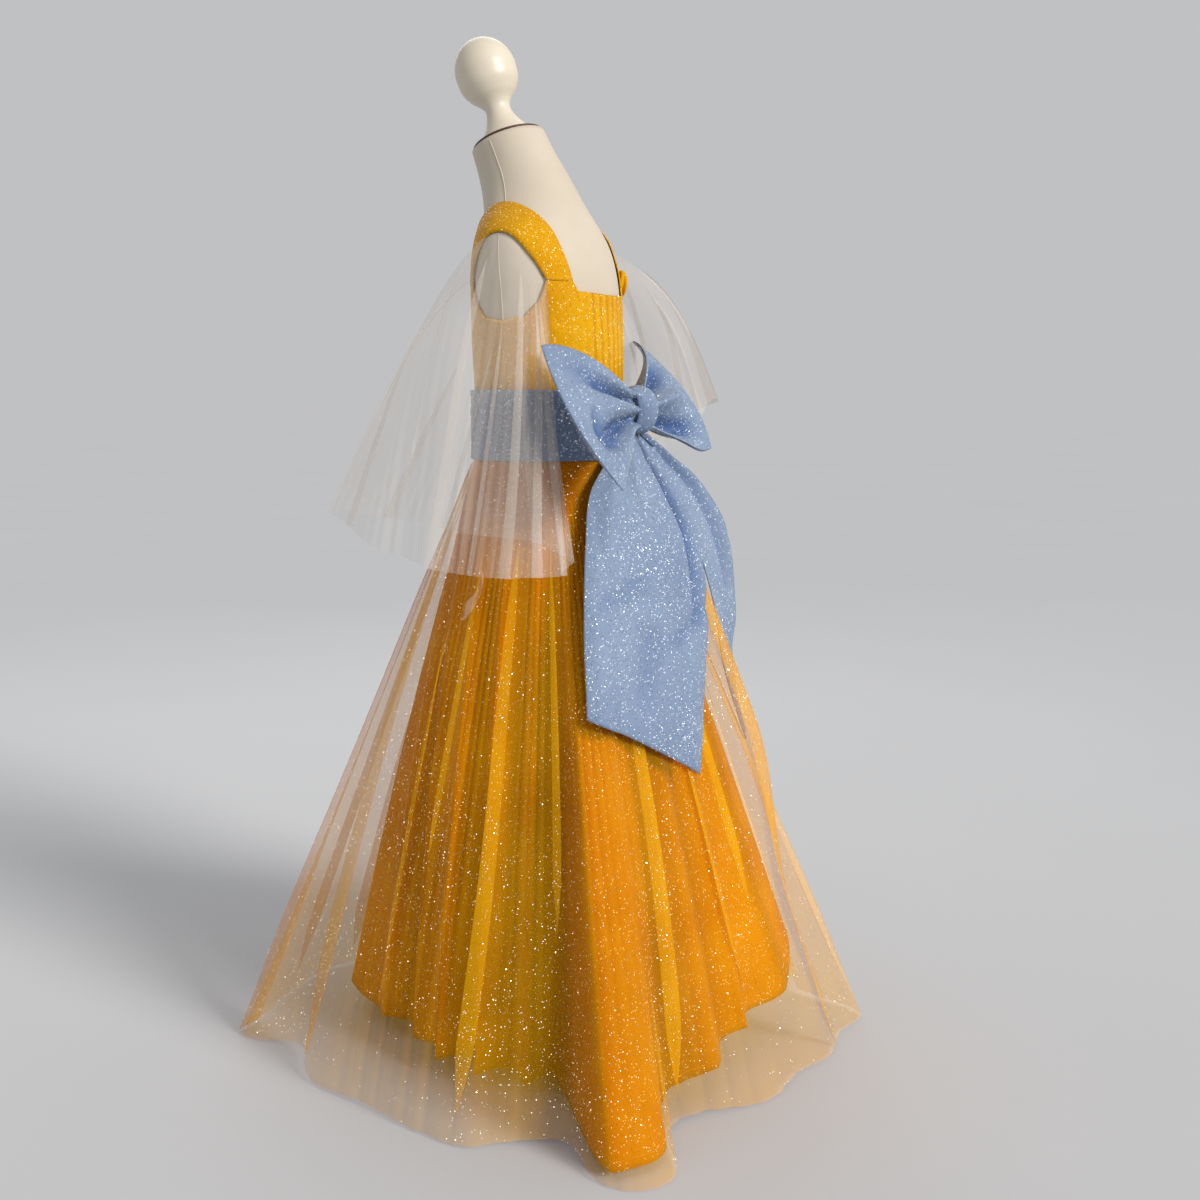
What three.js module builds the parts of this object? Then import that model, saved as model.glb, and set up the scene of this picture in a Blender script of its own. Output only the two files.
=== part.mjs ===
// Child's ball gown on a limbless dress form that stands on a pole and a round base.
// Millimetres, +Z up, front towards -Y, the wearer's left towards +X.
// The origin is on the floor, on the pole's axis.
import * as THREE from 'three';

// Wall of each cloth, and the gap left along every seam and between layers.
const SATIN_WALL = 1.2;
const BODICE_WALL = 1.5;
const TULLE_WALL = 1.0;
const RIBBON_WALL = 1.4;
const SEAM_GAP = 0.4;

// Stand: a flat disc and a pole that carries the torso.
const BASE_RADIUS = 125;
const BASE_HEIGHT = 12;
const BASE_BEVEL = 3;
const POLE_RADIUS = 15;
const BASE_SEGMENTS = 32;
const POLE_SEGMENTS = 16;

// Torso of the form: one row for each level section. tilt leans the neck's sections forward.
const FORM_SECTIONS = [
  { z: 565, halfWidth: 98, halfDepth: 84, centreY: 2, tilt: 0 },
  { z: 600, halfWidth: 103, halfDepth: 87, centreY: 3, tilt: 0 },
  { z: 645, halfWidth: 100, halfDepth: 84, centreY: 1, tilt: 0 },
  { z: 690, halfWidth: 93, halfDepth: 80, centreY: 0, tilt: 0 },
  { z: 728, halfWidth: 91, halfDepth: 79, centreY: 0, tilt: 0 },
  { z: 770, halfWidth: 93, halfDepth: 79, centreY: 0, tilt: 0 },
  { z: 820, halfWidth: 97, halfDepth: 79, centreY: -1, tilt: 0 },
  { z: 870, halfWidth: 100.5, halfDepth: 77, centreY: -2, tilt: 0 },
  { z: 905, halfWidth: 102, halfDepth: 72, centreY: -4, tilt: 0 },
  { z: 930, halfWidth: 98, halfDepth: 65, centreY: -6, tilt: 0 },
  { z: 948, halfWidth: 86, halfDepth: 60, centreY: -9.5, tilt: 0 },
  { z: 962, halfWidth: 72, halfDepth: 57, centreY: -14, tilt: 1 },
  { z: 980, halfWidth: 58, halfDepth: 54.5, centreY: -22, tilt: 4 },
  { z: 1000, halfWidth: 48.5, halfDepth: 51, centreY: -31, tilt: 9 },
  { z: 1022, halfWidth: 43.5, halfDepth: 46.5, centreY: -42, tilt: 14 },
  { z: 1046, halfWidth: 42.5, halfDepth: 43, centreY: -53, tilt: 20 },
];
const FORM_COLUMNS = 28;

// Knob on the neck, turned on the neck's axis: one row for each height above the neck.
const CAP_PROFILE = [
  { height: 0, radius: 31 },
  { height: 4, radius: 31 },
  { height: 10.5, radius: 27 },
  { height: 21, radius: 20 },
  { height: 31.5, radius: 15.5 },
  { height: 40, radius: 14.5 },
  { height: 47, radius: 18 },
  { height: 56, radius: 26.5 },
  { height: 68, radius: 33.5 },
  { height: 84, radius: 35.6 },
  { height: 100, radius: 32.5 },
  { height: 112, radius: 23.7 },
  { height: 120.5, radius: 11.4 },
];
const CAP_TOP = 124;
const CAP_SEGMENTS = 16;

// Waist: the bodice ends at the seam, the skirts start under it, the sash covers it.
const WAIST_SEAM = 700;
const BODICE_STAND_OFF = 1.1;
const SATIN_STAND_OFF = 0.8;
const TULLE_STAND_OFF = SATIN_STAND_OFF + SATIN_WALL + SEAM_GAP;
const SASH_STAND_OFF = TULLE_STAND_OFF + TULLE_WALL + 2 * SEAM_GAP;
const SASH_BOTTOM = 687;
const SASH_TOP = 765;
const SASH_COLUMNS = 36;

// Upper edge of the bodice: turn runs from the side seam to the middle, shoulders at the straps.
const STRAP_SEAM = 885;
const BACK_EDGE = [
  { turn: 0, top: 840, steps: 2 },
  { turn: 18, top: 844, steps: 2 },
  { turn: 30, top: 862, steps: 2 },
  { turn: 37, top: STRAP_SEAM, steps: 3 },
  { turn: 56, top: STRAP_SEAM, steps: 1 },
  { turn: 60, top: 872, steps: 10 },
  { turn: 90, top: 870, steps: 0 },
];
const FRONT_EDGE = [
  { turn: 0, top: 840, steps: 2 },
  { turn: 18, top: 844, steps: 2 },
  { turn: 30, top: 862, steps: 2 },
  { turn: 37, top: STRAP_SEAM, steps: 3 },
  { turn: 56, top: STRAP_SEAM, steps: 1 },
  { turn: 61, top: 876, steps: 4 },
  { turn: 90, top: 866, steps: 0 },
];
const BODICE_ROWS = 4;
// Shirring: ridges across the middle of the back, raised on the outside only.
const SHIRR_FROM = 58;
const SHIRR_RIDGE = 1.6;

// Straps run over the shoulder between the two upper edges; they widen at the top.
const STRAP_INNER = 56;
const STRAP_OUTER = 82;
const STRAP_INNER_SPREAD = 10;
const STRAP_OUTER_SPREAD = 14;
const STRAP_ROWS = 3;
const STRAP_STEPS = 14;
// Furthest reach and number of halvings when a strap's point is sought on the form.
const SHOULDER_REACH = 130;
const SHOULDER_HALVINGS = 40;

// Skirts: each row is a fold's crest or hollow at the hem, counted from +X towards +Y.
// A row with a seam is where two panels meet. lift is the hem's height above the floor.
const TULLE_SKIRT = {
  standOff: TULLE_STAND_OFF,
  wall: TULLE_WALL,
  meanRadius: 325,
  foldPower: 1.7,
  bulge: 0.12,
  rows: 6,
  folds: [
    { angle: -74, radius: 348, lift: 3, seam: true },
    { angle: -64, radius: 352, lift: 3 },
    { angle: -55, radius: 372, lift: 2 },
    { angle: -46, radius: 304, lift: 8 },
    { angle: -29, radius: 312, lift: 4 },
    { angle: -14, radius: 298, lift: 6, seam: true },
    { angle: 3, radius: 310, lift: 3 },
    { angle: 14, radius: 325, lift: 3 },
    { angle: 21, radius: 310, lift: 5 },
    { angle: 33, radius: 312, lift: 5 },
    { angle: 36.5, radius: 385, lift: 2 },
    { angle: 42, radius: 408, lift: 2 },
    { angle: 48, radius: 390, lift: 2 },
    { angle: 52, radius: 315, lift: 4 },
    { angle: 61, radius: 295, lift: 6, seam: true },
    { angle: 76, radius: 320, lift: 3 },
    { angle: 90, radius: 318, lift: 5 },
    { angle: 101, radius: 341, lift: 3 },
    { angle: 111, radius: 346, lift: 4 },
    { angle: 121, radius: 378, lift: 2, seam: true },
    { angle: 133, radius: 322, lift: 6 },
    { angle: 147, radius: 356, lift: 3 },
    { angle: 162, radius: 308, lift: 7 },
    { angle: 180, radius: 342, lift: 3, seam: true },
    { angle: 196, radius: 305, lift: 6 },
    { angle: 209, radius: 358, lift: 2 },
    { angle: 224, radius: 312, lift: 6 },
    { angle: 240, radius: 350, lift: 3, seam: true },
    { angle: 254, radius: 310, lift: 6 },
    { angle: 270, radius: 340, lift: 3 },
  ],
};
const SATIN_SKIRT = {
  standOff: SATIN_STAND_OFF,
  wall: SATIN_WALL,
  meanRadius: 235,
  foldPower: 1.5,
  bulge: 0.25,
  rows: 5,
  folds: [
    { angle: -74, radius: 258, lift: 48 },
    { angle: -62, radius: 240, lift: 28 },
    { angle: -48, radius: 200, lift: 24 },
    { angle: -36, radius: 178, lift: 26 },
    { angle: -18, radius: 208, lift: 22 },
    { angle: -3, radius: 200, lift: 24 },
    { angle: 13, radius: 222, lift: 22 },
    { angle: 29, radius: 232, lift: 24 },
    { angle: 35, radius: 300, lift: 22 },
    { angle: 43, radius: 395, lift: 10 },
    { angle: 50, radius: 345, lift: 22 },
    { angle: 57, radius: 300, lift: 34 },
    { angle: 72, radius: 274, lift: 34 },
    { angle: 90, radius: 262, lift: 52 },
    { angle: 105, radius: 282, lift: 60 },
    { angle: 120, radius: 300, lift: 105 },
    { angle: 136, radius: 240, lift: 70 },
    { angle: 153, radius: 272, lift: 50 },
    { angle: 170, radius: 225, lift: 62 },
    { angle: 188, radius: 262, lift: 40 },
    { angle: 206, radius: 222, lift: 60 },
    { angle: 224, radius: 265, lift: 45 },
    { angle: 242, radius: 225, lift: 66 },
    { angle: 264, radius: 268, lift: 60 },
  ],
};
const FLARE_FROM = 686;
const WAIST_LEVEL = 678;
const COLUMN_SPACING = 5;
// The satin keeps this far inside the tulle, growing from the waist to the hem.
const LAYER_GAP_AT_HEM = 6;

// Bow: a knot on the sash, two loops and two tails.
const KNOT = { x: -10, y: 109.2, z: 743, halfDepth: 23, halfHeight: 27, halfLength: 17, waistIn: 2.5 };
const KNOT_ROWS = 4;
const KNOT_COLUMNS = 20;
const LOOP_ROWS = 6;
const LOOP_COLUMNS = 18;
const LOOPS = [
  {
    name: 'bow_loop_left', side: 1, reach: 160, rise: -6, back: 14,
    spread: 175, tilt: 33, puff: 30, pinch: 37.9,
  },
  {
    name: 'bow_loop_right', side: -1, reach: 122, rise: 9, back: -8,
    spread: 164, tilt: 39, puff: 24, pinch: 37.5,
  },
];
const LOOP_WIDENING = 1.3;
const LOOP_ROOT = 9;
const LOOP_LIFT_OFF = 2;

// Tails: from and to are the two edges' angles, offFrom and offTo how far they stand off the tulle.
const TAIL_TOP = 715.8;
const TAIL_ROWS = 9;
const TAIL_COLUMNS = 6;
const TAILS = [
  {
    name: 'bow_tail_left',
    endFrom: 423,
    endTo: 345,
    sections: [
      { z: 345, from: 39, to: 79, offFrom: 6, offTo: 6 },
      { z: 440, from: 40, to: 89, offFrom: 17, offTo: 24 },
      { z: 520, from: 41, to: 97, offFrom: 23, offTo: 44 },
      { z: 600, from: 45, to: 104, offFrom: 21, offTo: 52 },
      { z: 655, from: 52, to: 99.5, offFrom: 18, offTo: 47 },
      { z: 690, from: 69, to: 96.5, offFrom: 18, offTo: 36 },
      { z: TAIL_TOP, from: 85, to: 95, offFrom: 21, offTo: 21 },
    ],
  },
  {
    name: 'bow_tail_right',
    endFrom: 352,
    endTo: 428,
    sections: [
      { z: 345, from: 119, to: 140, offFrom: 6, offTo: 24 },
      { z: 440, from: 117, to: 138, offFrom: 18, offTo: 52 },
      { z: 520, from: 112, to: 135, offFrom: 40, offTo: 72 },
      { z: 600, from: 106, to: 131, offFrom: 50, offTo: 93 },
      { z: 655, from: 101, to: 126, offFrom: 50, offTo: 80 },
      { z: 690, from: 98, to: 115, offFrom: 38, offTo: 55 },
      { z: TAIL_TOP, from: 97, to: 107, offFrom: 21, offTo: 21 },
    ],
  },
];

// Sleeves: turn goes round the armhole, 0 at the strap's front end, 90 over the shoulder,
// 180 at the strap's back end, 270 under the arm. The other columns place the hem.
const SLEEVE_ROWS = 4;
const SLEEVE_COLUMNS = 64;
const SLEEVE_GATHERS = 16;
const SLEEVE_GATHER_TOP = 0.5;
const SLEEVE_GATHER_HEM = 5;
const SLEEVE_BILLOW = 14;
const SLEEVE_CLEAR = 2.2;
const SLEEVES = [
  {
    name: 'sleeve_left',
    side: 1,
    hem: [
      { turn: 0, x: 190, y: -168, z: 632 },
      { turn: 45, x: 236, y: -72, z: 600 },
      { turn: 90, x: 248, y: 28, z: 580 },
      { turn: 135, x: 200, y: 84, z: 573 },
      { turn: 180, x: 138, y: 100, z: 574 },
      { turn: 225, x: 128, y: 72, z: 598 },
      { turn: 270, x: 148, y: -30, z: 612 },
      { turn: 315, x: 160, y: -112, z: 624 },
    ],
  },
  {
    name: 'sleeve_right',
    side: -1,
    hem: [
      { turn: 0, x: 198, y: -165, z: 638 },
      { turn: 45, x: 268, y: -88, z: 652 },
      { turn: 90, x: 308, y: 8, z: 712 },
      { turn: 135, x: 262, y: 92, z: 752 },
      { turn: 180, x: 156, y: 22, z: 652 },
      { turn: 225, x: 142, y: 8, z: 620 },
      { turn: 270, x: 148, y: -46, z: 612 },
      { turn: 315, x: 162, y: -116, z: 626 },
    ],
  },
];

// Finishes.
const FINISHES = {
  goldSatin: { color: 0xe9a21a, roughness: 0.42, metalness: 0.1 },
  goldTulle: { color: 0xd9a63a, roughness: 0.6, metalness: 0 },
  paleTulle: { color: 0xd8cbbd, roughness: 0.7, metalness: 0 },
  blueSatin: { color: 0x8aa9d6, roughness: 0.45, metalness: 0.05 },
  ivoryJersey: { color: 0xe8dcc4, roughness: 0.8, metalness: 0 },
  ivoryPaint: { color: 0xefe6d3, roughness: 0.35, metalness: 0 },
  darkPaint: { color: 0x2c2a28, roughness: 0.45, metalness: 0.2 },
};

const gown = new THREE.Group();

function addPiece(name, finish, geometry) {
  const mesh = new THREE.Mesh(geometry, new THREE.MeshStandardMaterial(FINISHES[finish]));
  mesh.name = name;
  gown.add(mesh);
  return mesh;
}

function mix(start, end, share) {
  return start + (end - start) * share;
}

function radians(degrees) {
  return THREE.MathUtils.degToRad(degrees);
}

// Smooth value of one column of a table at a place along its key column.
function along(table, key, column, place) {
  const last = table.length - 1;
  let row = 0;
  while (row < last - 1 && place > table[row + 1][key]) {
    row += 1;
  }
  const slope = (index) => {
    const before = table[Math.max(0, index - 1)];
    const after = table[Math.min(last, index + 1)];
    return (after[column] - before[column]) / (after[key] - before[key]);
  };
  const span = table[row + 1][key] - table[row][key];
  const t = THREE.MathUtils.clamp((place - table[row][key]) / span, 0, 1);
  const ease = t * t * (3 - 2 * t);
  const lead = t * (1 - t) * (1 - t) * span * slope(row);
  const trail = t * t * (1 - t) * span * slope(row + 1);
  return mix(table[row][column], table[row + 1][column], ease) + lead - trail;
}

// The same table with its ends repeated one turn away, so that it closes on itself.
function closedTable(table, key) {
  const shifted = (row, turn) => ({ ...row, [key]: row[key] + turn });
  const before = table.slice(-2).map((row) => shifted(row, -360));
  const after = table.slice(0, 2).map((row) => shifted(row, 360));
  return [...before, ...table, ...after];
}

// Outward normals of a grid of points: rows run down, columns run round.
function gridNormals(grid, ring, side) {
  const rowCount = grid.length;
  const columnCount = grid[0].length;
  return grid.map((row, r) => row.map((point, c) => {
    const above = grid[Math.max(0, r - 1)][c];
    const below = grid[Math.min(rowCount - 1, r + 1)][c];
    const left = ring ? row[(c + columnCount - 1) % columnCount] : row[Math.max(0, c - 1)];
    const right = ring ? row[(c + 1) % columnCount] : row[Math.min(columnCount - 1, c + 1)];
    const down = below.clone().sub(above);
    const round = right.clone().sub(left);
    return down.cross(round).normalize().multiplyScalar(side);
  }));
}

// A grid moved out along its normals.
function movedOut(grid, distance, ring, side) {
  const normals = gridNormals(grid, ring, side);
  return grid.map((row, r) => row.map((point, c) => point.clone().addScaledVector(normals[r][c], distance)));
}

function signedVolume(points, triangles) {
  const cross = new THREE.Vector3();
  let sum = 0;
  for (let i = 0; i < triangles.length; i += 3) {
    const [a, b, c] = triangles.slice(i, i + 3).map((index) => points[index]);
    sum += a.dot(cross.crossVectors(b, c));
  }
  return sum / 6;
}

function solidGeometry(points, triangles) {
  const outward = signedVolume(points, triangles) > 0;
  const index = outward ? triangles : triangles.toReversed();
  const geometry = new THREE.BufferGeometry().setFromPoints(points);
  geometry.setIndex(index);
  geometry.computeVertexNormals();
  return geometry;
}

// Closed wall between an inner and an outer grid; a ring joins its last column to its first.
function wallGeometry(inner, outer, ring) {
  const rowCount = inner.length;
  const columnCount = inner[0].length;
  const points = [...inner.flat(), ...outer.flat()];
  const offset = rowCount * columnCount;
  const triangles = [];
  const quad = (a, b, c, d) => triangles.push(a, b, c, a, c, d);
  const at = (r, c) => r * columnCount + (c % columnCount);
  const columnsUsed = ring ? columnCount : columnCount - 1;
  for (let c = 0; c < columnsUsed; c += 1) {
    for (let r = 0; r < rowCount - 1; r += 1) {
      const [a, b, d, e] = [at(r, c), at(r, c + 1), at(r + 1, c + 1), at(r + 1, c)];
      quad(a, b, d, e);
      quad(a + offset, e + offset, d + offset, b + offset);
    }
    const top = [at(0, c), at(0, c + 1)];
    const end = [at(rowCount - 1, c), at(rowCount - 1, c + 1)];
    quad(top[1], top[0], top[0] + offset, top[1] + offset);
    quad(end[0], end[1], end[1] + offset, end[0] + offset);
  }
  if (!ring) {
    for (let r = 0; r < rowCount - 1; r += 1) {
      const first = [at(r, 0), at(r + 1, 0)];
      const last = [at(r, columnCount - 1), at(r + 1, columnCount - 1)];
      quad(first[0], first[1], first[1] + offset, first[0] + offset);
      quad(last[1], last[0], last[0] + offset, last[1] + offset);
    }
  }
  return solidGeometry(points, triangles);
}

function clothWall(grid, wall, ring = false, side = 1) {
  return wallGeometry(grid, movedOut(grid, wall, ring, side), ring);
}

// A grid of points from a function of the row's and the column's share, both 0 to 1.
function makeGrid(rowCount, columnCount, place) {
  return Array.from({ length: rowCount + 1 }, (_, r) => (
    Array.from({ length: columnCount + 1 }, (__, c) => place(r / rowCount, c / columnCount))
  ));
}

function formSection(z) {
  return {
    halfWidth: along(FORM_SECTIONS, 'z', 'halfWidth', z),
    halfDepth: along(FORM_SECTIONS, 'z', 'halfDepth', z),
    centreY: along(FORM_SECTIONS, 'z', 'centreY', z),
  };
}

// Point at a turn of the form's level section, moved out by a stand-off.
function formPoint(turn, z, standOff) {
  const { halfWidth, halfDepth, centreY } = formSection(z);
  const [cos, sin] = [Math.cos(radians(turn)), Math.sin(radians(turn))];
  const normal = new THREE.Vector3(cos / halfWidth, sin / halfDepth, 0).normalize();
  return new THREE.Vector3(halfWidth * cos, centreY + halfDepth * sin, z).addScaledVector(normal, standOff);
}

// Stand.
function addStand(torsoBottom) {
  const disc = [
    new THREE.Vector2(0, 0),
    new THREE.Vector2(BASE_RADIUS, 0),
    new THREE.Vector2(BASE_RADIUS, BASE_HEIGHT - BASE_BEVEL),
    new THREE.Vector2(BASE_RADIUS - BASE_BEVEL, BASE_HEIGHT),
    new THREE.Vector2(0, BASE_HEIGHT),
  ];
  addPiece('stand_base', 'darkPaint', new THREE.LatheGeometry(disc, BASE_SEGMENTS)).rotation.x = Math.PI / 2;
  const bottom = BASE_HEIGHT + SEAM_GAP;
  const height = torsoBottom - SEAM_GAP - bottom;
  const shaft = new THREE.CylinderGeometry(POLE_RADIUS, POLE_RADIUS, height, POLE_SEGMENTS);
  const pole = addPiece('stand_pole', 'darkPaint', shaft);
  pole.rotation.x = Math.PI / 2;
  pole.position.z = bottom + height / 2;
}

// Torso with its neck: a loft through the sections, closed by a flat face at each end.
function addTorso() {
  const points = [];
  const triangles = [];
  for (const section of FORM_SECTIONS) {
    const lean = radians(section.tilt);
    for (let c = 0; c < FORM_COLUMNS; c += 1) {
      const turn = (c / FORM_COLUMNS) * 2 * Math.PI;
      const across = section.halfDepth * Math.sin(turn);
      const x = section.halfWidth * Math.cos(turn);
      const y = section.centreY + across * Math.cos(lean);
      points.push(new THREE.Vector3(x, y, section.z + across * Math.sin(lean)));
    }
  }
  const last = FORM_SECTIONS.length - 1;
  for (let c = 0; c < FORM_COLUMNS; c += 1) {
    const next = (c + 1) % FORM_COLUMNS;
    for (let r = 0; r < last; r += 1) {
      const [low, high] = [r * FORM_COLUMNS, (r + 1) * FORM_COLUMNS];
      triangles.push(low + c, low + next, high + next);
      triangles.push(low + c, high + next, high + c);
    }
  }
  const ends = [FORM_SECTIONS[0], FORM_SECTIONS[last]];
  ends.forEach((section, end) => {
    const middle = points.length;
    const ringStart = end * last * FORM_COLUMNS;
    points.push(new THREE.Vector3(0, section.centreY, section.z));
    for (let c = 0; c < FORM_COLUMNS; c += 1) {
      const edge = [ringStart + c, ringStart + ((c + 1) % FORM_COLUMNS)];
      triangles.push(middle, edge[1 - end], edge[end]);
    }
  });
  addPiece('form_torso', 'ivoryJersey', solidGeometry(points, triangles));
}

// Knob, standing on the neck's tilted top face.
function addNeckCap() {
  const profile = [
    new THREE.Vector2(0, 0),
    ...CAP_PROFILE.map(({ height, radius }) => new THREE.Vector2(radius, height)),
    new THREE.Vector2(0, CAP_TOP),
  ];
  const cap = addPiece('form_neck_cap', 'ivoryPaint', new THREE.LatheGeometry(profile, CAP_SEGMENTS));
  const neck = FORM_SECTIONS.at(-1);
  const lean = radians(neck.tilt);
  cap.rotation.x = Math.PI / 2 + lean;
  cap.position.set(0, neck.centreY - SEAM_GAP * Math.sin(lean), neck.z + SEAM_GAP * Math.cos(lean));
}

// Turns of the bodice's columns, from one side seam over the middle to the other.
function bodiceColumns(edge) {
  const half = [];
  edge.forEach((row, index) => {
    for (let step = 0; step < row.steps; step += 1) {
      const share = step / row.steps;
      const next = edge[index + 1];
      half.push({ turn: mix(row.turn, next.turn, share), top: mix(row.top, next.top, share) });
    }
  });
  const middle = edge.at(-1);
  const mirrored = half.toReversed().map(({ turn, top }) => ({ turn: 180 - turn, top }));
  return [...half, { turn: middle.turn, top: middle.top }, ...mirrored];
}

// Moves a grid's first and last columns inwards, so that it keeps a gap to its neighbours.
function trimSides(grid, gap) {
  for (const row of grid) {
    const last = row.length - 1;
    const first = row[1].clone().sub(row[0]).normalize();
    const end = row[last - 1].clone().sub(row[last]).normalize();
    row[0].addScaledVector(first, gap / 2);
    row[last].addScaledVector(end, gap / 2);
  }
  return grid;
}

// Half of the bodice: facing is 1 for the back and -1 for the front.
function addBodiceHalf(name, edge, facing, ridge) {
  const columns = bodiceColumns(edge);
  const place = (row, { turn, top }, standOff) => (
    formPoint(facing * turn, mix(top, WAIST_SEAM + SEAM_GAP, row / BODICE_ROWS), standOff)
  );
  const isRidge = (index, { turn }) => turn > SHIRR_FROM && turn < 180 - SHIRR_FROM && index % 2 === 1;
  const rows = Array.from({ length: BODICE_ROWS + 1 }, (_, row) => row);
  const inner = rows.map((row) => columns.map((column) => place(row, column, BODICE_STAND_OFF)));
  const outer = rows.map((row) => columns.map((column, index) => {
    const raised = row < BODICE_ROWS - 1 && isRidge(index, column) ? ridge : 0;
    return place(row, column, BODICE_STAND_OFF + BODICE_WALL + raised);
  }));
  addPiece(name, 'goldSatin', wallGeometry(trimSides(inner, SEAM_GAP), trimSides(outer, SEAM_GAP), false));
}

// Point of the form over the shoulder: from the strap seam's level, x and an angle over the top.
function shoulderPoint(x, over) {
  const centreY = formSection(STRAP_SEAM).centreY;
  const [backward, upward] = [-Math.cos(over), Math.sin(over)];
  let [near, far] = [0, SHOULDER_REACH];
  for (let step = 0; step < SHOULDER_HALVINGS; step += 1) {
    const reach = (near + far) / 2;
    const section = formSection(STRAP_SEAM + upward * reach);
    const across = (centreY + backward * reach - section.centreY) / section.halfDepth;
    const inside = (x / section.halfWidth) ** 2 + across ** 2 < 1;
    [near, far] = inside ? [reach, far] : [near, reach];
  }
  return new THREE.Vector3(x, centreY + backward * near, STRAP_SEAM + SEAM_GAP + upward * near);
}

function strapEdges(over) {
  const rise = Math.sin(over);
  return [STRAP_INNER + STRAP_INNER_SPREAD * rise, STRAP_OUTER + STRAP_OUTER_SPREAD * rise];
}

function mirrorX(grid) {
  return grid.map((row) => row.map((point) => new THREE.Vector3(-point.x, point.y, point.z)));
}

function addStraps() {
  const grid = makeGrid(STRAP_ROWS, STRAP_STEPS, (across, lengthwise) => {
    const over = lengthwise * Math.PI;
    const [inner, outer] = strapEdges(over);
    return shoulderPoint(mix(inner, outer, across), over);
  });
  const inner = movedOut(grid, BODICE_STAND_OFF + SEAM_GAP, false, 1);
  const outer = movedOut(grid, BODICE_STAND_OFF + SEAM_GAP + BODICE_WALL, false, 1);
  addPiece('strap_left', 'goldSatin', wallGeometry(inner, outer, false));
  addPiece('strap_right', 'goldSatin', wallGeometry(mirrorX(inner), mirrorX(outer), false));
}

// Radius of the waist at an angle, moved out by a stand-off.
function waistRadius(angle, standOff) {
  const { halfWidth, halfDepth } = formSection(WAIST_LEVEL);
  const [cos, sin] = [Math.cos(radians(angle)), Math.sin(radians(angle))];
  return (halfWidth * halfDepth) / Math.hypot(halfDepth * cos, halfWidth * sin) + standOff;
}

for (const skirt of [TULLE_SKIRT, SATIN_SKIRT]) {
  skirt.closedFolds = closedTable(skirt.folds, 'angle');
}

function wrapAngle(angle, skirt) {
  const start = skirt.folds[0].angle;
  return start + THREE.MathUtils.euclideanModulo(angle - start, 360);
}

function hemLift(skirt, angle) {
  return along(skirt.closedFolds, 'angle', 'lift', wrapAngle(angle, skirt));
}

// A skirt's radius at an angle and a height: a flaring cone whose folds deepen towards the hem.
function skirtRadius(skirt, angle, z) {
  const hem = along(skirt.closedFolds, 'angle', 'radius', wrapAngle(angle, skirt));
  const fall = Math.max(0, FLARE_FROM - z) / (FLARE_FROM - hemLift(skirt, angle));
  const waist = waistRadius(angle, skirt.standOff);
  const cone = (skirt.meanRadius - waist) * fall * (1 + skirt.bulge * (1 - fall));
  return waist + cone + (hem - skirt.meanRadius) * fall ** skirt.foldPower;
}

function tulleRadius(angle, z) {
  return skirtRadius(TULLE_SKIRT, angle, z);
}

// The satin's own radius, held inside the tulle.
function satinRadius(angle, z) {
  const fall = Math.max(0, FLARE_FROM - z) / FLARE_FROM;
  const gap = TULLE_STAND_OFF - SATIN_STAND_OFF + LAYER_GAP_AT_HEM * Math.sqrt(fall);
  return Math.min(skirtRadius(SATIN_SKIRT, angle, z), tulleRadius(angle, z) - gap);
}

function polar(radius, angle, z) {
  return new THREE.Vector3(radius * Math.cos(radians(angle)), radius * Math.sin(radians(angle)), z);
}

// Column angles of both skirts: every fold row of the tulle, with even steps between rows.
function skirtColumns() {
  const { folds } = TULLE_SKIRT;
  return folds.flatMap(({ angle, seam }, index) => {
    const next = index + 1 < folds.length ? folds[index + 1].angle : folds[0].angle + 360;
    const steps = Math.max(1, Math.round((next - angle) / COLUMN_SPACING));
    return Array.from({ length: steps }, (_, step) => ({
      angle: mix(angle, next, step / steps),
      seam: Boolean(seam) && step === 0,
    }));
  });
}

// Panels of one skirt, from seam to seam, each a wall under the sash that falls to the hem.
function addSkirt(prefix, finish, skirt, radiusAt) {
  const columns = skirtColumns();
  const levels = Array.from({ length: skirt.rows + 2 }, (_, level) => level);
  const inner = levels.map((level) => columns.map(({ angle }) => {
    const share = Math.max(0, level - 1) / skirt.rows;
    const z = level === 0 ? WAIST_SEAM : mix(FLARE_FROM, hemLift(skirt, angle), share);
    return polar(radiusAt(angle, z), angle, z);
  }));
  const outer = movedOut(inner, skirt.wall, true, 1);
  const seams = columns.flatMap(({ seam }, index) => (seam ? [index] : []));
  seams.forEach((first, panel) => {
    const last = panel + 1 < seams.length ? seams[panel + 1] : seams[0] + columns.length;
    const cut = (grid) => trimSides(grid.map((row) => (
      Array.from({ length: last - first + 1 }, (_, c) => row[(first + c) % columns.length].clone())
    )), SEAM_GAP);
    addPiece(`${prefix}_${panel + 1}`, finish, wallGeometry(cut(inner), cut(outer), false));
  });
}

function addSash() {
  const levels = [SASH_TOP, (SASH_TOP + SASH_BOTTOM) / 2, SASH_BOTTOM];
  const ringPoints = (z, standOff) => Array.from({ length: SASH_COLUMNS }, (_, column) => {
    const angle = (column / SASH_COLUMNS) * 360;
    return polar(waistRadius(angle, standOff), angle, z);
  });
  const inner = levels.map((z) => ringPoints(z, SASH_STAND_OFF));
  const outer = levels.map((z) => ringPoints(z, SASH_STAND_OFF + RIBBON_WALL));
  addPiece('sash_band', 'blueSatin', wallGeometry(inner, outer, true));
}

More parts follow.
